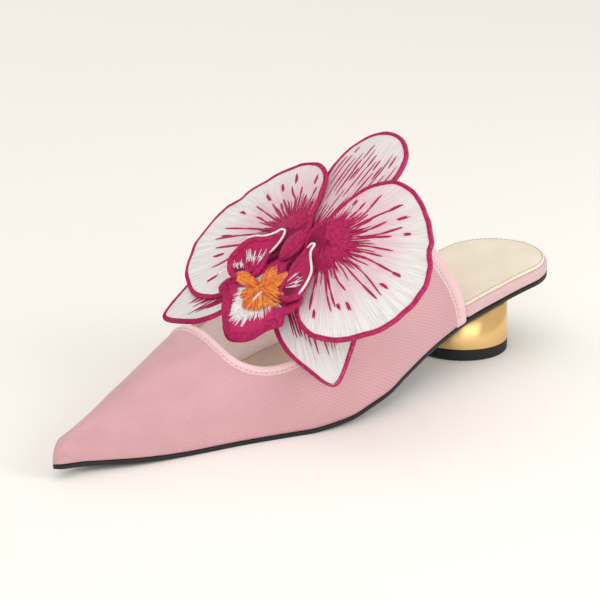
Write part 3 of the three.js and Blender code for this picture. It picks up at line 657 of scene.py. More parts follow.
rear_tape = carried("rear_binding", REAR_STEPS, SECTION_SIDES, rear_tape_place, flat=(165, 16), tube=True)
dressed(rear_tape, satin, ["rear_tape"])


# %% [markdown]
# Stitches are small strands that dive at both ends, so each is a small sphere drawn out along its line.
# Hundreds of them are made in one mesh for each seam or petal, to keep the scene light.

# %% One strand, and rows of them
STRAND_SIDES = 6


def strand(bm, at, width, height):
    """at(share) gives (point, side, up) in millimetres along the strand."""
    made = bmesh.ops.create_uvsphere(bm, u_segments=STRAND_SIDES, v_segments=STRAND_SIDES, radius=1)
    for vert in made["verts"]:
        point, side, up = at((vert.co.z + 1) / 2)
        vert.co = (point + side * (vert.co.x * width / 2) + up * (vert.co.y * height / 2)) * MM


def straight(start, end, up):
    side = (end - start).cross(up).normalized()
    return lambda share: (start.lerp(end, share), side, up)


def laid(name, bm, material):
    for face in bm.faces:
        face.smooth = True
    return dressed(finished(name, bm), material)


def seam(name, line, ups, pitch, stitch, width, material):
    """A row of stitches along a line of points with its normals."""
    bm = bmesh.new()
    count = round(run_of(line) / pitch)
    fine = spaced(line, count * 4)
    size = len(ups)
    for k in range(count):
        a, b = fine[4 * k], fine[4 * k].lerp(fine[4 * k + 4], stitch / pitch)
        up = ups[min(round((k + 0.5) / count * (size - 1)), size - 1)]
        strand(bm, straight(a, b, up), width, width)
    return laid(name, bm, material)


TAPE_PITCH, TAPE_STITCH, TAPE_THREAD = 2.1, 1.55, 0.42


def tape_seam(name, spots):
    """Stitches along the points (y, around) at the bottom of a tape's groove."""
    line = [lifted(y, around, TAPE_PROUD) for y, around in spots]
    ups = [last_frame(y, around)[2] for y, around in spots]
    seam(name, line, ups, TAPE_PITCH, TAPE_STITCH, TAPE_THREAD, pink_thread)


round_throat = throat_loop(THROAT_GROOVE)
tape_seam("throat_stitches", round_throat + round_throat[:1])
tape_seam("rear_stitches", [(before_rear_edge(k / 120, REAR_GROOVE), k / 120) for k in range(2, 119)])


# %% [markdown]
# The bottom is a stack: a black leather outsole, a board wrapped in pink, and a beige leather sock.
# Each layer is a tube of soft-cornered sections along the shoe, capped at its ends, and the edges are
# rounded in the section itself, as a finisher rounds them with a hot iron.

# %% One layer of the bottom
BOTTOM_STEPS, BOTTOM_SIDES = 170, 40
END_TRIM = 0.0035
FLAT_PART = 0.55
CORNERS = ((1, 1), (-1, 1), (-1, -1), (1, -1))


def bottom_layer(name, start, plan, low, high, rim):
    """plan(y) gives (middle, half width); low(y) and high(y) are its faces; rim is its edge's radius."""
    def place(u, v):
        y = y_at(start + (1 - start) * (1 - math.cos(math.pi * (END_TRIM + (1 - 2 * END_TRIM) * u))) / 2)
        middle, half = plan(y)
        bottom, top = low(y), high(y)
        deep = (top - bottom) / 2
        round_by = min(rim, half * 0.5, deep)
        side = v * BOTTOM_SIDES
        quarter = BOTTOM_SIDES / 4
        corner = min(int(side // quarter), 3)
        share = (side - corner * quarter) / quarter
        (cx, cz), (nx, nz) = ((x * (half - round_by), z * (deep - round_by))
                              for x, z in (CORNERS[corner], CORNERS[(corner + 1) % 4]))
        turn = math.pi / 2 * (corner + min(share / (1 - FLAT_PART), 1))
        along = max((share - 1 + FLAT_PART) / FLAT_PART, 0)
        x = cx + (nx - cx) * along + round_by * math.cos(turn)
        z = cz + (nz - cz) * along + round_by * math.sin(turn)
        return Vector((middle + x, y, (bottom + top) / 2 + z))

    return carried(name, BOTTOM_STEPS, BOTTOM_SIDES, place, flat=(270, 150), tube=True)


# %% Outsole, wrapped board and sock
BOARD_START, SOCK_START = 0.06, 0.085
SOCK_MARGIN, SOCK_THICK = 1.4, 1.2
BOARD_SUNK, SOCK_OFF = 0.25, 0.02
TAPED_TO = 0.744


def board_plan(y, margin, top):
    along = along_at(y)
    if along > TAPED_TO:
        return sole_plan(y, EASE + margin)
    middle, half = sole_plan(y, EASE + margin + WALL + TAPE_PROUD + SEAM)
    depth = max(last_depth(y) - WALL, 1)
    share = min((top(y) - footbed(y)) / depth, 0.98)
    room = (1 - share ** SECTION_POWER) ** (1 / SECTION_POWER) * (last_half(y) - WALL) - SEAM - margin
    return middle, min(half, room)


def sock_top(y):
    return board_top(y) + SEAM + SOCK_THICK


outsole = bottom_layer("outsole_leather", 0, sole_plan, underside, lambda y: underside(y) + OUTSOLE, 0.45)
dressed(outsole, sole_leather, ["outsole"])

board = bottom_layer("wrapped_board", BOARD_START, lambda y: board_plan(y, 0, board_top),
                     lambda y: footbed(y) - BOARD_SUNK, board_top, 1.5)
dressed(board, wrap, ["insole_board"])

sock = bottom_layer("sock_leather", SOCK_START, lambda y: board_plan(y, SOCK_MARGIN, sock_top),
                    lambda y: board_top(y) + SOCK_OFF, sock_top, 0.5)
dressed(sock, sock_leather, ["insole_sock"])

# %% The stitches round the sock
STITCH_INSET, STITCHES_FROM, EDGE_POINTS = 0.9, 0.30, 240
edge = []
for k in range(EDGE_POINTS):
    share = k / (EDGE_POINTS - 1)
    y = y_at(STITCHES_FROM + (1 - STITCHES_FROM) * math.sin(math.pi / 2 * share))
    y -= (SOCK_MARGIN + STITCH_INSET + EASE) * share ** 2
    middle, half = board_plan(y, SOCK_MARGIN + STITCH_INSET, sock_top)
    edge.append((middle, half, y, sock_top(y)))
outer_side = [Vector((m + h, y, z)) for m, h, y, z in edge]
inner_side = [Vector((m - h, y, z)) for m, h, y, z in reversed(edge)]
round_sock = outer_side + inner_side
seam("sock_stitches", round_sock, [Vector((0, 0, 1))] * 3, 1.9, 1.5, 0.38, brown_thread)


# %% [markdown]
# The heel is a short round column in gold plating on a black rubber tip.
# A cone gives each one. Its rims are bevelled, and the heel's top face is moved to the sole it carries.

# %% Heel block and heel tip
HEEL_SIDES = 160


def turned(name, low, high, radius_low, radius_high, rims, top=None):
    """rims lists (height, bevel) for each rounded rim; top(y) moves the upper face to what it carries."""
    bm = bmesh.new()
    made = bmesh.ops.create_cone(bm, cap_ends=True, segments=HEEL_SIDES, radius1=radius_low * MM,
                                 radius2=radius_high * MM, depth=(high - low) * MM)
    bmesh.ops.translate(bm, verts=made["verts"], vec=(0, 0, (low + high) / 2 * MM))
    for height, offset in rims:
        ring = [e for e in bm.edges if all(abs(v.co.z - height * MM) < 1e-6 for v in e.verts)]
        bmesh.ops.bevel(bm, geom=ring, offset=offset * MM, affect="EDGES", segments=4, profile=0.5,
                        material=-1)
    for face in bm.faces:
        face.smooth = len(face.verts) < 8
    if top:
        for vert in bm.verts:
            if vert.co.z > (high - 0.01) * MM:
                vert.co.z = top(vert.co.y / MM) * MM
    return finished(name, bm)


TIP, TIP_GAP, HEEL_TOP, HEEL_TAPER = 5, 0.15, 24, 1.0
heel = turned("heel_gold", TIP + TIP_GAP, HEEL_TOP, HEEL_RADIUS - 0.05, HEEL_RADIUS - 0.05 - HEEL_TAPER,
              [(TIP + TIP_GAP, 0.35)], top=lambda y: underside(y) - 0.03)
dressed(heel, gold, ["heel_block"])
tip = turned("heel_tip_rubber", 0, TIP, HEEL_RADIUS, HEEL_RADIUS, [(0, 0.8), (TIP, 0.3)])
dressed(tip, tip_rubber, ["heel_tip"])
print("heel:", round(underside(0), 1), "mm high under the seat's middle")


# %% [markdown]
# The orchid is machine embroidery on stiff cloth, cut out and sewn on in layers.
# It has its own frame: across, up along its face, and out of its face.
# Each blade is a grid carried between its middle and its outline, over the face and back under it.

# %% The flower's frame and heights
FLOWER_CENTRE = Vector((3.5, -102, 72.5))
TILT = math.radians(40)
FLOWER_UP = Vector((0, math.cos(TILT), math.sin(TILT)))
FLOWER_OUT = Vector((0, -math.sin(TILT), math.cos(TILT)))
ACROSS = Vector((1, 0, 0))
PETAL_REACH = 63
PETAL_THICK = 1.4
LAYER = 1.8
FALL, FALL_ROUND, UPPER_LEAN = 0.14, 8, 0.05


def flower_point(across, up, out):
    return FLOWER_CENTRE + ACROSS * across + FLOWER_UP * up + FLOWER_OUT * out


def fall(across, up=0):
    return -FALL * (math.hypot(across, FALL_ROUND) - FALL_ROUND)


def upper_sepal_height(across, up):
    return fall(across) - LAYER - UPPER_LEAN * max(up, 0)


LIP_LENGTH, LIP_WIDTH = 54, 38
LIP_ARCH = table("along out", (0, 1.8), (0.12, 1.9), (0.42, 2.6), (0.62, 3), (0.82, 2.6), (1, 0.8))


def lip_height(across, up):
    off = across / (LIP_WIDTH / 2)
    return read(LIP_ARCH, "out", -up / LIP_LENGTH) - 0.9 * off * off


def lobe_height(spread, rise):
    """A side lobe's face, which stands up from the lip towards its outer rim."""
    def height(across, up):
        share = max(abs(across) / spread - 0.25, 0)
        return lip_height(across, up) + LAYER + rise * share ** 1.5
    return height


print("flower centre at", list(FLOWER_CENTRE))


# %% Outlines of the blades, as shares of each blade's own sizes
PETAL = [
    (0, 0.05), (0.07, 0.2), (0.12, 0.37), (0.21, 0.51), (0.34, 0.58), (0.5, 0.56), (0.66, 0.46),
    (0.81, 0.32), (0.94, 0.14), (1, -0.06), (0.97, -0.28), (0.86, -0.46), (0.69, -0.58), (0.51, -0.61),
    (0.35, -0.56), (0.2, -0.36), (0.05, -0.11),
]


def mirrored(*half):
    """A half outline up to its tip, and the same half back down the other side."""
    return [*half, *((-across, up) for across, up in reversed(half[:-1]))]


UPPER_SEPAL = mirrored((-0.2, 0.03), (-0.5, 0.22), (-0.86, 0.46), (-1, 0.66), (-0.86, 0.84),
                       (-0.46, 0.965), (0, 1))
LOWER_SEPAL = mirrored((-0.2, 0.07), (-0.68, 0.3), (-1, 0.56), (-0.9, 0.73), (-0.56, 0.87), (0, 1))
print("outlines:", len(PETAL), len(UPPER_SEPAL), len(LOWER_SEPAL), "marks")

# %% [markdown]
# A blade's cloth is white embroidery. Its threads run out from the root, so the UV map stores how far
# round the root and how far out each point lies, both in millimetres.
# A noise that is long along the threads and short across them gives single threads with painted shade in
# the grooves between them, a magenta blotch with spiky edges near the root, and a pale pink zone around it.

# %% Embroidered cloth
def embroidered(name, blotch, spikes, pale, ground="e8e7e5", tint="e3b5c3", blot="ad1c53"):
    """blotch, spikes and pale are millimetres out from the root."""
    ground, tint, blot = rgb(ground), rgb(tint), rgb(blot)
    made = finish(name, ground, 0.6, Specular_IOR_Level=0.16)
    out = put(made, "SeparateXYZ", [cloth_place(made)]).outputs[1]
    fine = speckle(made, cloth_place(made, (2.1, 0.05, 1)), 1.0, 2.0, 0.6)
    broad = speckle(made, cloth_place(made, (0.8, 0.012, 1)), 1.0, 2.0, 0.7)
    reach = maths(made, "MULTIPLY_ADD", between(made, broad, 0.3, 0.75), spikes, blotch)
    blotted = between(made, maths(made, "SUBTRACT", out, reach), -1.2, 0.6, 1.0, 0.0)
    past = maths(made, "SUBTRACT", out, maths(made, "MULTIPLY", broad, pale))
    zone = between(made, past, 0.0, 0.6 * pale, 1.0, 0.0)
    zone = maths(made, "MULTIPLY", zone, between(made, fine, 0.35, 0.62, 0.35, 0.95))
    # Painted shade: the ground and the blotch are darker in the grooves between threads, where the fine noise is
    # low.
    groove_shade_colour = tuple(c * k for c, k in zip(ground, (0.84, 0.78, 0.8)))
    ground_with_groove_shade = mixed(made, between(made, fine, 0.3, 0.6), groove_shade_colour, ground)
    deep = mixed(made, between(made, fine, 0.3, 0.65), tuple(0.74 * c for c in blot), blot)
    driven(made, "Base Color", mixed(made, blotted, mixed(made, zone, ground_with_groove_shade, tint), deep))
    embossed(made, fine, 1.0, 0.00045)
    return made


petal_cloth = embroidered("petal_embroidery", 9.0, 13.0, 42.0)
upper_cloth = embroidered("upper_sepal_embroidery", 6.0, 9.0, 52.0)
lower_cloth = embroidered("lower_sepal_embroidery", 10.0, 9.0, 34.0)
print("embroidery ready")


# %% One blade and its satin-stitched border
BLADE_STEPS, BLADE_RINGS = 168, 22
BORDER_PITCH, BORDER_SIDES = 0.62, 10
RIPPLE_RUN = 7


def rippled(spot, ripple):
    """The soft waves of a blade's rim."""
    return ripple * (0.5 + 0.8 * noise.noise(Vector((spot.x / RIPPLE_RUN, spot.y / RIPPLE_RUN, 2.0))))


def blade(node, outline, height, polar, material, ripple):
    """outline is a list of (across, up) in millimetres; polar(across, up) is the thread field."""
    line = smooth_loop(outline, BLADE_STEPS)
    middle = sum(line, Vector((0, 0))) / len(line)

    def spot_at(u, v):
        share = 1 - abs(2 * v - 1)
        spot = middle.lerp(line[round(u * BLADE_STEPS) % BLADE_STEPS], share ** 0.8)
        return spot, share

    def place(u, v):
        spot, share = spot_at(u, v)
        swell = share ** 4 * rippled(spot, ripple)
        drop = PETAL_THICK if v > 0.5 else 0
        return flower_point(spot.x, spot.y, height(spot.x, spot.y) - drop + swell)

    def flat(u, v):
        spot, _ = spot_at(u, v)
        return polar(spot.x, spot.y)

    made = carried(f"{node}_cloth", BLADE_STEPS, 2 * BLADE_RINGS, place, flat=flat, loop=True)
    dressed(made, material, [node])
    return line


def border(node, outline, height, ripple, width=2.1, thick=2.2, inset=0.85, wave=0.0):
    """A satin stitch laid round the outline, one ridge for each pass of the thread."""
    rough = smooth_loop(outline, 200)
    around = run_of(rough + rough[:1])
    steps = round(around / BORDER_PITCH) * 3
    line = smooth_loop(outline, steps)
    turn_sign = 1 if sum(a.x * b.y - b.x * a.y for a, b in zip(line, line[1:] + line[:1])) > 0 else -1

    def place(u, v):
        k = round(u * steps) % steps
        spot, ahead, behind = line[k], line[(k + 2) % steps], line[k - 2]
        tangent = (ahead - behind).normalized()
        out = Vector((tangent.y, -tangent.x)) * turn_sign
        turn = 2 * math.pi * v
        ridge = 1 + 0.1 * math.cos(2 * math.pi * k / 3) + 0.05 * noise.noise(Vector((k * 0.71, 0.5, 9.0)))
        flat_by = (width / 2 * math.cos(turn)) * ridge - inset
        lift_by = thick / 2 * math.sin(turn) * ridge
        swell = wave * math.sin(2 * math.pi * 9 * u + 1.3 * math.sin(2 * math.pi * 3 * u))
        edge_spot = spot + out * (flat_by + 0.35 * swell)
        swell += rippled(spot, ripple)
        out_by = height(spot.x, spot.y) - PETAL_THICK / 2 + 0.1 + lift_by + swell
        return flower_point(edge_spot.x, edge_spot.y, out_by)

    made = carried(f"{node}_border", steps, BORDER_SIDES, place, flat=(around, 6), loop=True, tube=True)
    print(made.name, round(around), "mm of satin stitch,", steps // 3, "passes")
    dressed(made, magenta_thread)


def edged(node, outline, height, polar, material, slot, ripple, **rim):
    line = blade(node, outline, height, polar, material, ripple)
    border(node, outline, height, ripple, **rim)
    return line


# %% [markdown]
# The long magenta veins are single heavy stitches laid over the blade.
# Each follows the blade's height from root to tip. Their angles and lengths come from a seeded random
# draw within limits, so that they spread as a needle would lay them, and every run gives the same flower.

# %% Veins laid on a blade
LAID_AT = 0.1


def lay(bm, start, end, height, width, proud=0.5):
    side = (end - start).normalized()
    side = Vector((side.y, -side.x))
    sideways = ACROSS * side.x + FLOWER_UP * side.y

    def at(share):
        spot = start.lerp(end, share)
        return flower_point(spot.x, spot.y, height(spot.x, spot.y) + LAID_AT), sideways, FLOWER_OUT

    strand(bm, at, width, proud)


def lay_along(bm, line, height, width, proud=0.6):
    """line(share) gives (across, up); the stitch bends with it."""
    def at(share):
        spot, ahead, behind = line(share), line(min(share + 0.02, 1)), line(max(share - 0.02, 0))
        along = (ahead - behind).normalized()
        return (flower_point(spot.x, spot.y, height(spot.x, spot.y) + LAID_AT),
                ACROSS * along.y - FLOWER_UP * along.x, FLOWER_OUT)

    strand(bm, at, width, proud)


def wavy(start, end, draw, sway=0.03):
    """A line from start to end that wanders a little to one side."""
    side = Vector((end.y - start.y, start.x - end.x)) * draw.uniform(-sway, sway)
    turns = draw.uniform(0.8, 1.7)
    return lambda share: start.lerp(end, share) + side * math.sin(math.pi * turns * share)


def reach_of(line, root, direction):
    """How far the outline lies from a root in a direction."""
    best = 0
    for a, b in zip(line, line[1:] + line[:1]):
        da, db = a - root, b - root
        ca, cb = direction.cross(da), direction.cross(db)
        if ca * cb <= 0 and abs(ca - cb) > 1e-9:
            hit = da.lerp(db, ca / (ca - cb))
            best = max(best, hit.dot(direction))
    return best


def radial_polar(root, sign=1):
    def polar(across, up):
        dx, dy = (across - root[0]) * sign, up - root[1]
        return math.atan2(dy, dx) * 30, math.hypot(dx, dy)
    return polar


NEAR_ROOT, MIDWAY, LONG, FLECKS = 150, 56, 27, 14


def petal_veins(name, line, root, height, sign, seed, spread):
    """Short stitches round the root, finer ones past them, long veins in two parts, and loose flecks."""
    draw = random.Random(seed)
    bm = bmesh.new()
    root = Vector(root)
    low, high = spread

    def ray(k, count):
        angle = math.radians(low + (high - low) * (k + draw.uniform(-0.4, 0.4)) / (count - 1))
        direction = Vector((math.cos(angle) * sign, math.sin(angle)))
        return direction, reach_of(line, root, direction)

    for k in range(NEAR_ROOT):
        direction, far = ray(k, NEAR_ROOT)
        start, end = draw.uniform(1.0, 6.0), min(draw.uniform(10.5, 16.5), far - 3)
        if end > start + 2:
            lay(bm, root + direction * start, root + direction * end, height, draw.uniform(0.5, 0.8), 0.6)
    for k in range(MIDWAY):
        direction, far = ray(k, MIDWAY)
        start = draw.uniform(9, 14)
        end = min(start + draw.uniform(5, 14), 0.62 * far)
        if end > start + 2:
            path = wavy(root + direction * start, root + direction * end, draw)
            lay_along(bm, path, height, draw.uniform(0.35, 0.7), 0.6)
    for k in range(LONG):
        direction, far = ray(k, LONG)
        start, end = draw.uniform(10, 13), draw.uniform(0.5, 0.8) * far
        if end > start + 5:
            path = wavy(root + direction * start, root + direction * end, draw, 0.07)
            middle = draw.uniform(0.42, 0.6)
            first, last = (lambda share: path(share * (middle + 0.12)),
                           lambda share: path(middle + share * (1 - middle)))
            lay_along(bm, first, height, draw.uniform(0.75, 1.05), 0.7)
            lay_along(bm, last, height, draw.uniform(0.8, 1.25), 0.7)
    for k in range(FLECKS):
        direction, far = ray(k + 0.5, FLECKS + 1)
        start, length = far * draw.uniform(0.6, 0.72), draw.uniform(5.5, 9.0)
        side = Vector((direction.y, -direction.x))
        if 24 < start + length < far - 4:
            for off in (-0.4, 0, 0.4):
                first = root + direction * (start + draw.uniform(0, 2)) + side * off
                last = root + direction * (start + length - draw.uniform(0, 2)) + side * off
                lay(bm, first, last, height, draw.uniform(0.5, 0.75), 0.6)
    laid(name, bm, magenta_thread)


# %% The two broad side petals
DIP_ANGLE, DIP_SPREAD, DIP_DEPTH = 30, 8, 1.5
EDGE_LOBE, EDGE_LOBE_RUN = 0.9, 9
PLAIN_ROOT = 18


def side_outline(sign, seed):
    """The petal's outline with a shallow dip in its upper shoulder and small lobes all round."""
    line = smooth_loop([(a * PETAL_REACH, u * PETAL_REACH) for a, u in PETAL], 60)
    middle = sum(line, Vector((0, 0))) / len(line)
    made = []
    for spot in line:
        out = (spot - middle).normalized()
        dip = math.exp(-((math.degrees(math.atan2(out.y, out.x)) - DIP_ANGLE) / DIP_SPREAD) ** 2)
        wave = noise.noise(Vector((spot.x / EDGE_LOBE_RUN, spot.y / EDGE_LOBE_RUN, seed)))
        moved = spot + out * (EDGE_LOBE * wave - DIP_DEPTH * dip) * min(spot.x / PLAIN_ROOT, 1)
        made.append((sign * (max(moved.x, 0) + SEAM), moved.y))
    return made


for node, sign, root, seed, spread in (("petal_outer", 1, (10.5, 0.0), 11, (-128, 118)),
                                       ("petal_inner", -1, (-8.5, 0.5), 23, (-125, 118))):
    outline = side_outline(sign, seed)
    line = edged(node, outline, fall, radial_polar(root, sign), petal_cloth, "petal_white", 0.5)
    petal_veins(f"{node}_veins", line, root, fall, sign, seed, spread)

# %% The upper sepal, with the padded root that is sewn to the band
UPPER_HALF, UPPER_LENGTH, VEINED_HALF = 18, 61, 15.6
edged("sepal_upper", [(a * UPPER_HALF, u * UPPER_LENGTH) for a, u in UPPER_SEPAL], upper_sepal_height,
      lambda a, u: (a * 1.2, u), upper_cloth, "petal_white", 0.3)
draw = random.Random(5)
bm = bmesh.new()


def sepal_vein(off, low, high):
    """A vein that keeps its share of the sepal's half width all the way up."""
    def line(share):
        up = low + (high - low) * share
        half = VEINED_HALF * math.sin(math.pi * min(0.06 + 0.66 * up, 1)) ** 1.25
        return Vector((off * half, up * UPPER_LENGTH))
    return line


for k in range(12):
    off = -0.9 + 1.8 * k / 11
    up = draw.uniform(0.03, 0.1)
    last = 0.9 - 0.07 * abs(off) - draw.uniform(0, 0.12)
    while up < last - 0.05:
        end = min(up + draw.uniform(0.22, 0.42), last)
        drift = off + draw.uniform(-0.025, 0.025)
        lay_along(bm, sepal_vein(drift, up, end), upper_sepal_height, draw.uniform(0.45, 0.7), 0.6)
        up = end + draw.uniform(0.02, 0.09)
for k in range(8):
    off, up = -0.75 + 1.5 * k / 7 + draw.uniform(-0.05, 0.05), draw.uniform(0.46, 0.72)
    fleck = sepal_vein(off, up, up + draw.uniform(0.08, 0.14))
    lay_along(bm, fleck, upper_sepal_height, draw.uniform(0.65, 0.85), 0.7)
laid("sepal_upper_veins", bm, magenta_thread)

bm = bmesh.new()
PAD_UP, PAD_BACK, PAD_FRONT = 10, -9.4, -2.6
PAD_BACK_RADIUS, PAD_FRONT_RADIUS = 7.6, 6.4
pad_low, pad_high = flower_point(0, PAD_UP, PAD_BACK), flower_point(0, PAD_UP, PAD_FRONT)
pad = bmesh.ops.create_cone(bm, cap_ends=True, segments=40,
                            radius1=PAD_BACK_RADIUS * MM, radius2=PAD_FRONT_RADIUS * MM,
                            depth=(pad_high - pad_low).length * MM)
facing = Vector((0, 0, 1)).rotation_difference(FLOWER_OUT).to_matrix()
bmesh.ops.rotate(bm, verts=pad["verts"], matrix=facing)
bmesh.ops.translate(bm, verts=pad["verts"], vec=(pad_low + pad_high) / 2 * MM)
laid("sepal_root_pad", bm, white_thread)


# %% The two lower sepals
LOWER_LENGTH, LOWER_HALF = 59, 17.5


def lower_sepal(node, sign, turn, reach, droop, cup, seed):
    """turn is degrees from straight down; droop and cup bend its tip and its sides, in millimetres."""
    length, half, angle = LOWER_LENGTH * reach, LOWER_HALF, math.radians(turn)

    def turned_to(across, up):
        return (sign * (up * length * math.sin(angle) + across * half * math.cos(angle)),
                -up * length * math.cos(angle) + across * half * math.sin(angle))

    def height(across, up):
        out = math.hypot(across, up) / length
        off = (sign * across * math.cos(angle) + up * math.sin(angle)) / half
        return fall(across) - LAYER - droop * out ** 3 + cup * off * off * out

    def field(across, up):
        off = sign * across * math.cos(angle) + up * math.sin(angle)
        return off * 1.2, sign * across * math.sin(angle) - up * math.cos(angle)

    outline = [turned_to(a, u) for a, u in LOWER_SEPAL]
    edged(node, outline, height, field, lower_cloth, "petal_white", 0.25)
    draw = random.Random(seed)
    bm = bmesh.new()
    for k in range(19):
        off = -0.9 + 1.8 * k / 18
        start, end = draw.uniform(0.34, 0.6), draw.uniform(0.72, 0.86) - 0.05 * abs(off)
        a = Vector(turned_to(off * 0.76, start))
        b = Vector(turned_to(off * 0.64, end))
        lay_along(bm, wavy(a, b, draw), height, draw.uniform(0.6, 1.05), 0.7)
    laid(f"{node}_veins", bm, magenta_thread)


lower_sepal("sepal_outer", 1, 40.5, 1.06, 14.5, 2.4, 31)
lower_sepal("sepal_inner", -1, 45, 1.22, 0, 0, 37)

# %% [markdown]
# The lip is the orchid's third petal: a ruffled magenta tongue with a white middle, two side lobes that
# stand up round the throat, orange raised knots, and the column over its root.

# %% The lip's tongue
LIP_HEART = Vector((2.0, -30.0))
TONGUE = [
    (3, -5), (4, -14), (8.5, -22), (18.5, -25), (21.9, -29), (21.6, -33.3), (19.0, -36.6), (20.2, -41),
    (15.6, -44.8), (10.8, -50.2), (4.3, -53.2), (-1.6, -52.6), (-7.3, -47.8), (-10.8, -42.7),
    (-15.9, -37.6), (-20.8, -34.2), (-20.9, -30), (-14, -26), (-8, -22), (-4, -14), (-3, -5),
]


def radial_field(root, spread):
    """Threads that fan out from a root: how far round it, and how far out."""
    return lambda across, up: (math.atan2(across - root[0], root[1] - up) * spread,
                               math.hypot(across - root[0], up - root[1]))


tongue_cloth = embroidered("lip_embroidery", 9.0, 6.0, 16.0, "c02864", "c8336c", "eadfe2")
edged("lip", TONGUE, lip_height, radial_field(LIP_HEART, 18), tongue_cloth, "lip_magenta", 0.9,
      width=4.4, thick=2.7, inset=1.7, wave=0.35)


def fan(bm, draw, root, low, high, count, starts, ends, height, widths, proud):
    """Stitches that fan out from a root between two angles, measured from straight down."""
    for k in range(count):
        angle = math.radians(low + (high - low) * (k + draw.uniform(-0.4, 0.4)) / (count - 1))
        direction = Vector((math.sin(angle), -math.cos(angle)))
        start, end = draw.uniform(*starts), draw.uniform(*ends)
        lay(bm, root + direction * start, root + direction * end, height, draw.uniform(*widths), proud)


draw = random.Random(41)
bm = bmesh.new()
fan(bm, draw, LIP_HEART, -82, 40, 120, (4, 8.5), (9, 15), lip_height, (0.36, 0.55), 0.6)
fan(bm, draw, LIP_HEART, -46, 8, 60, (7, 10), (13, 19), lip_height, (0.36, 0.55), 0.6)
laid("lip_white_stitches", bm, white_thread)

# %% The side lobes, with the white cords on their rims
INNER_LOBE = [
    (-8.3, -1.4), (-10.4, -4.4), (-13.6, -7.6), (-17.6, -9.8), (-19.9, -13), (-20.8, -17.7), (-20.8, -22.9),
    (-18.8, -26.9), (-15.2, -29.6), (-10, -29.6), (-5.8, -26.5), (-4.9, -20), (-6.4, -14), (-5.8, -9), (-6, -4.5),
]
OUTER_LOBE = [
    (12.4, -4.6), (12.8, -7.6), (14.6, -10.2), (18.2, -13.6), (21.2, -17), (22.8, -20.8), (23.5, -24.6),
    (23.6, -28.6), (20.6, -31.6), (15.5, -32), (11.6, -29), (10.2, -23), (8.6, -17), (8, -11), (9.6, -6),
]
INNER_CORD = [
    (-6.3, -14), (-5.6, -9.5), (-5.9, -5), (-7.3, -2), (-9, -2.2), (-10.6, -4.6), (-13.7, -7.7),
    (-17.4, -9.6), (-19.4, -12),
]
OUTER_CORD = [
    (9.9, -7), (10.6, -4.7), (12.2, -4.4), (12.9, -7.6), (14.7, -10.2), (18.2, -13.6), (21.2, -17),
    (22.8, -20.8), (23.5, -24.6), (23.6, -28.2),
]
CORD_STEPS, CORD_RADIUS, CORD_PROUD = 96, 0.48, 0.7
lobe_cloth = embroidered("lobe_embroidery", 7.0, 5.0, 16.0, "b8265e", "b8265e", "8a1242")


def cord(name, marks, height):
    """A white cord through the marks: a loop out along them and back gives the smooth curve."""
    curve = smooth_loop(marks + marks[-2:0:-1], 4 * CORD_STEPS)
    turn = min(range(len(curve)), key=lambda k: (curve[k] - Vector(marks[-1])).length)
    flat = spaced(curve[:turn + 1], CORD_STEPS)
    path = [flower_point(p.x, p.y, height(p.x, p.y) + CORD_PROUD) for p in flat]

    def place(u, v):
        k = round(u * CORD_STEPS)
        a, b = path[max(k - 1, 0)], path[min(k + 1, CORD_STEPS)]
        along = (b - a).normalized()
        side = along.cross(FLOWER_OUT).normalized()
        up = side.cross(along)
        turned_by = 2 * math.pi * v
        taper = min(1, 0.4 + 8 * min(u, 1 - u)) * (1 + 0.07 * math.cos(2 * math.pi * (k / 3 + v)))
        return path[k] + (side * math.cos(turned_by) + up * math.sin(turned_by)) * (CORD_RADIUS * taper)

    made = carried(name, CORD_STEPS, 10, place, flat=(60, 4), tube=True)
    dressed(made, white_thread)


def side_lobe(node, outline, marks, height, root, seed, white_fans, vein_fan):
    """Each fan is (low angle, high angle, count, starts, ends); a white one begins with a shift of its root."""
    root = Vector(root)
    edged(node, outline, height, radial_field(root, 22), lobe_cloth, "lip_magenta", 0.3,
          width=2.6, inset=1.1, wave=0.15)
    cord(f"{node}_cord", marks, height)
    draw = random.Random(seed)
    bm = bmesh.new()
    for shift, *spread in white_fans:
        fan(bm, draw, root + Vector(shift), *spread, height, (0.26, 0.36), 0.45)
    laid(f"{node}_stitches", bm, white_thread)
    bm = bmesh.new()
    fan(bm, draw, root, *vein_fan, height, (0.7, 0.95), 0.9)
    laid(f"{node}_veins", bm, magenta_thread)


side_lobe("lip_lobe_inner", INNER_LOBE, INNER_CORD, lobe_height(23.5, 9), (-7, -28), 52,
          [((0, 0), 186, 222, 18, (6, 9), (11, 16.5)), ((-4, 0), 200, 262, 18, (3.5, 6), (6.5, 9.5))],
          (184, 232, 8, (2, 4), (10, 15)))
side_lobe("lip_lobe_outer", OUTER_LOBE, OUTER_CORD, lobe_height(19, 2.5), (11, -28), 53,
          [((0, 0), 112, 166, 30, (3, 5.5), (7, 11.5))], (120, 172, 8, (2, 4), (8, 11)))

# %% Orange knots
KNOTS = [
    ((-17.4, -26.6), 3.0, 56), ((-1.0, -19.0), 3.6, 60), ((9.2, -19.6), 3.6, 56), ((16.0, -32.0), 3.8, 60),
    ((-5.6, -36.0), 4.0, 54), ((0.8, -40.6), 3.8, 50), ((8.2, -39.0), 4.0, 54), ((3.0, -29.0), 4.5, 56),
]


ARMS_ABOVE, ARM_START, ARM_CLIMB = -31, 5, 5


def over_lip(across, up):
    """The top of the lip, which an arm of orange stitches crosses onto a lobe."""
    height = lip_height(across, up)
    if up > ARMS_ABOVE:
        climb = (abs(across - LIP_HEART.x) - ARM_START) / ARM_CLIMB
        height += min(max(climb, 0), 1) * LAYER
    return height


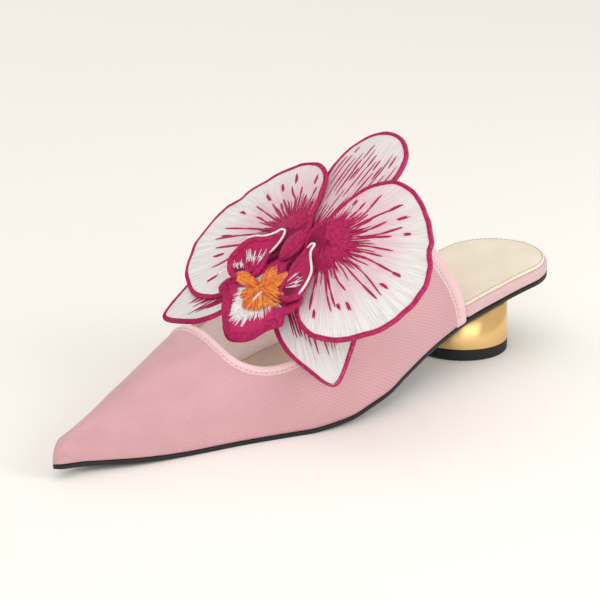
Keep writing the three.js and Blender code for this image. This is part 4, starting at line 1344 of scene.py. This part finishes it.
draw = random.Random(61)
bm, deep_bm = bmesh.new(), bmesh.new()
for (x, y), spread, count in KNOTS:
    tip_spot = Vector((x, y))
    axis = (tip_spot - LIP_HEART).normalized()
    side = Vector((axis.y, -axis.x))
    length = (tip_spot - LIP_HEART).length
    for k in range(count):
        off = draw.uniform(-1, 1)
        start = LIP_HEART + axis * draw.uniform(-0.1, 0.5) * length + side * off * spread * 0.7
        end = (LIP_HEART + axis * length * draw.uniform(0.72, 1.05) * (1 - 0.14 * off * off)
               + side * off * spread)
        crown = 0.35 + 1.0 * (1 - off * off)
        strands = deep_bm if draw.random() < 0.3 else bm
        lay(strands, start, end, lambda a, u: over_lip(a, u) + crown, draw.uniform(0.55, 0.85), 0.9)
laid("lip_orange_knots", bm, orange_thread)
laid("lip_deep_orange_knots", deep_bm, deep_orange_thread)
bm = bmesh.new()
for k in range(5):
    off = draw.uniform(-0.6, 0.6)
    lay(bm, Vector((3.4 + off, -31.0 + off)), Vector((2.2 + off, -36.6 + off)),
        lambda a, u: over_lip(a, u) + 1.5, 0.36, 0.5)
laid("lip_pale_streak", bm, white_thread)

# %% The column, and dark strands beside it that paint the shade in its hollows
# The dark wine strands beside the column are painted shade: they stand for the shadow in the hollows there.
hollow_shade_thread = thread("hollow_shade_thread", "741038", "4c0824", gloss=0.12)
draw = random.Random(71)
bm = bmesh.new()
for count, low, high, stray, run in ((44, (-6.4, -17.4), (-2.0, -11.0), (1.2, 1.0), (2.2, 2.8)),
                                     (32, (6.4, -18.0), (7.8, -12.0), (0.9, 0.8), (0.6, 3.2))):
    for k in range(count):
        spot = Vector(low).lerp(Vector(high), draw.uniform(0, 1))
        spot += Vector([draw.uniform(-most, most) for most in stray])
        lay(bm, spot, spot + Vector(run), lambda a, u: lip_height(a, u) + 1.5, 0.6, 0.6)
laid("lip_painted_hollow_shade", bm, hollow_shade_thread)

column_cloth = embroidered("column_embroidery", 3.0, 4.0, 12.0, "b8265e", "c0306a", "a01b50")
COLUMN_REACH, COLUMN_DROP = 7.5, 1.1
COLUMN_HALF, COLUMN_TAPER = 4.4, 0.22
COLUMN_RISE, COLUMN_SIDE, COLUMN_BOW = 1.7, 1.6, 1.6


def column_half(along):
    return COLUMN_HALF * (1 + COLUMN_TAPER * along)


def column_place(u, v):
    turn, lift_turn = 2 * math.pi * u, math.pi * v
    across = math.sin(lift_turn) * math.cos(turn)
    out = math.sin(lift_turn) * math.sin(turn)
    along = -math.cos(lift_turn)
    up = (along - COLUMN_DROP) * COLUMN_REACH
    return flower_point(across * column_half(along) + COLUMN_SIDE, up,
                        COLUMN_RISE * (out + 1) + lip_height(0, up) + SEAM)


column = carried("column_cloth", 48, 24, column_place, flat=(24, 14), loop=True)
dressed(column, column_cloth, ["column"])


def over_column(across, up):
    """The top of the padded ridge, and the lip beside it."""
    along = min(max(up / COLUMN_REACH + COLUMN_DROP, -0.98), 0.98)
    half = column_half(along) * math.sqrt(1 - along * along)
    off = min(abs(across - COLUMN_SIDE) / max(half, 0.1), 1)
    crown = math.sqrt(1 - off * off) * math.sqrt(1 - along * along)
    return lip_height(0, up) + SEAM + COLUMN_RISE * (1 + crown) + 0.05


bm = bmesh.new()
for k in range(90):
    up = -15.4 + 14.6 * k / 89 + draw.uniform(-0.1, 0.1)
    along = up / COLUMN_REACH + COLUMN_DROP
    half = column_half(along) * math.sqrt(max(1 - along * along, 0.02))
    reach = half * draw.uniform(0.9, 1.05)

    def over(share):
        return Vector((COLUMN_SIDE + reach * (2 * share - 1), up + COLUMN_BOW * abs(2 * share - 1)))

    lay_along(bm, over, over_column, draw.uniform(0.3, 0.42), 0.35)
laid("column_stitches", bm, magenta_thread)


# %% [markdown]
# The stage is a plain pale floor under soft light, with the camera where the photograph has it.
# The pale sky gives most of the light, and a very broad sun from above only firms up the shadows. A wide
# lamp on either side lifts the cloth; two small lamps lift the heel and leave no bright spot on its gold.
# Real net lets daylight into the shoe; a very weak soft lamp under the cut-out stands for that light.

# %% Floor, light and camera
floor_bm = bmesh.new()
bmesh.ops.create_grid(floor_bm, x_segments=1, y_segments=1, size=40)
floor = finished("floor", floor_bm)
paper = finish("pale_paper", rgb("fbf8f3"), 0.9)
clouds = speckle(paper, object_place(paper), 3.0)
driven(paper, "Base Color", mixed(paper, clouds, rgb("f7f4ef"), rgb("f9f7f3")))
floor.data.materials.append(paper)

world = bpy.data.worlds.new("studio")
bpy.context.scene.world = world
world.use_nodes = True
world.node_tree.nodes["Background"].inputs[0].default_value = (*rgb("fdfaf5"), 1)
world.node_tree.nodes["Background"].inputs[1].default_value = 0.78


def stood(name, data, place, aim):
    """A lamp or camera at a place, turned towards a point."""
    made = bpy.data.objects.new(name, data)
    made.location = place
    made.rotation_euler = (Vector(aim) - Vector(place)).to_track_quat("-Z", "Y").to_euler()
    bpy.context.scene.collection.objects.link(made)
    return made


def lamp(name, place, aim, size, power):
    data = bpy.data.lights.new(name, "AREA")
    data.shape, data.size, data.size_y = "RECTANGLE", size[0], size[1]
    data.energy = power
    return stood(name, data, place, aim)


sun = bpy.data.lights.new("key", "SUN")
sun.energy, sun.angle = 0.36, math.radians(60)
stood("key", sun, (0, 0, 0), (-0.06, 0.16, -0.98))
strip = lamp("strip", (0.55, -0.85, 0.4), (0, 0, 0.02), (0.16, 0.8), 1.5)
lamp("fill", (2.4, -1.25, 0.75), (0.03, -0.1, 0.04), (2.0, 1.3), 9.0)
lamp("far_fill", (-2.4, -1.0, 0.75), (-0.03, -0.12, 0.04), (2.0, 1.3), 7.0)
glow = bpy.data.lights.new("glow", "POINT")
glow.energy, glow.shadow_soft_size, glow.color = 0.009, 0.012, (1, 0.93, 0.93)
through_net = stood("through_net", glow, (-0.003, -0.136, 0.03), (-0.003, -0.136, 0))
through_net.visible_camera = through_net.visible_glossy = False
side = lamp("side", (0.75, 0.25, 0.5), (0, -0.05, 0.03), (0.4, 0.4), 2.4)
strip.visible_glossy = side.visible_glossy = False

camera_data = bpy.data.cameras.new("camera")
camera_data.lens, camera_data.sensor_width = 92, 36
CAMERA_AT, CAMERA_AIM = (0.4360, -0.5121, 0.2408), (0.0486, -0.1472, 0.0665)
camera = stood("camera", camera_data, CAMERA_AT, CAMERA_AIM)
bpy.context.scene.camera = camera
bpy.context.scene.view_settings.view_transform = "Standard"
print("camera at", [round(c, 3) for c in camera.location])
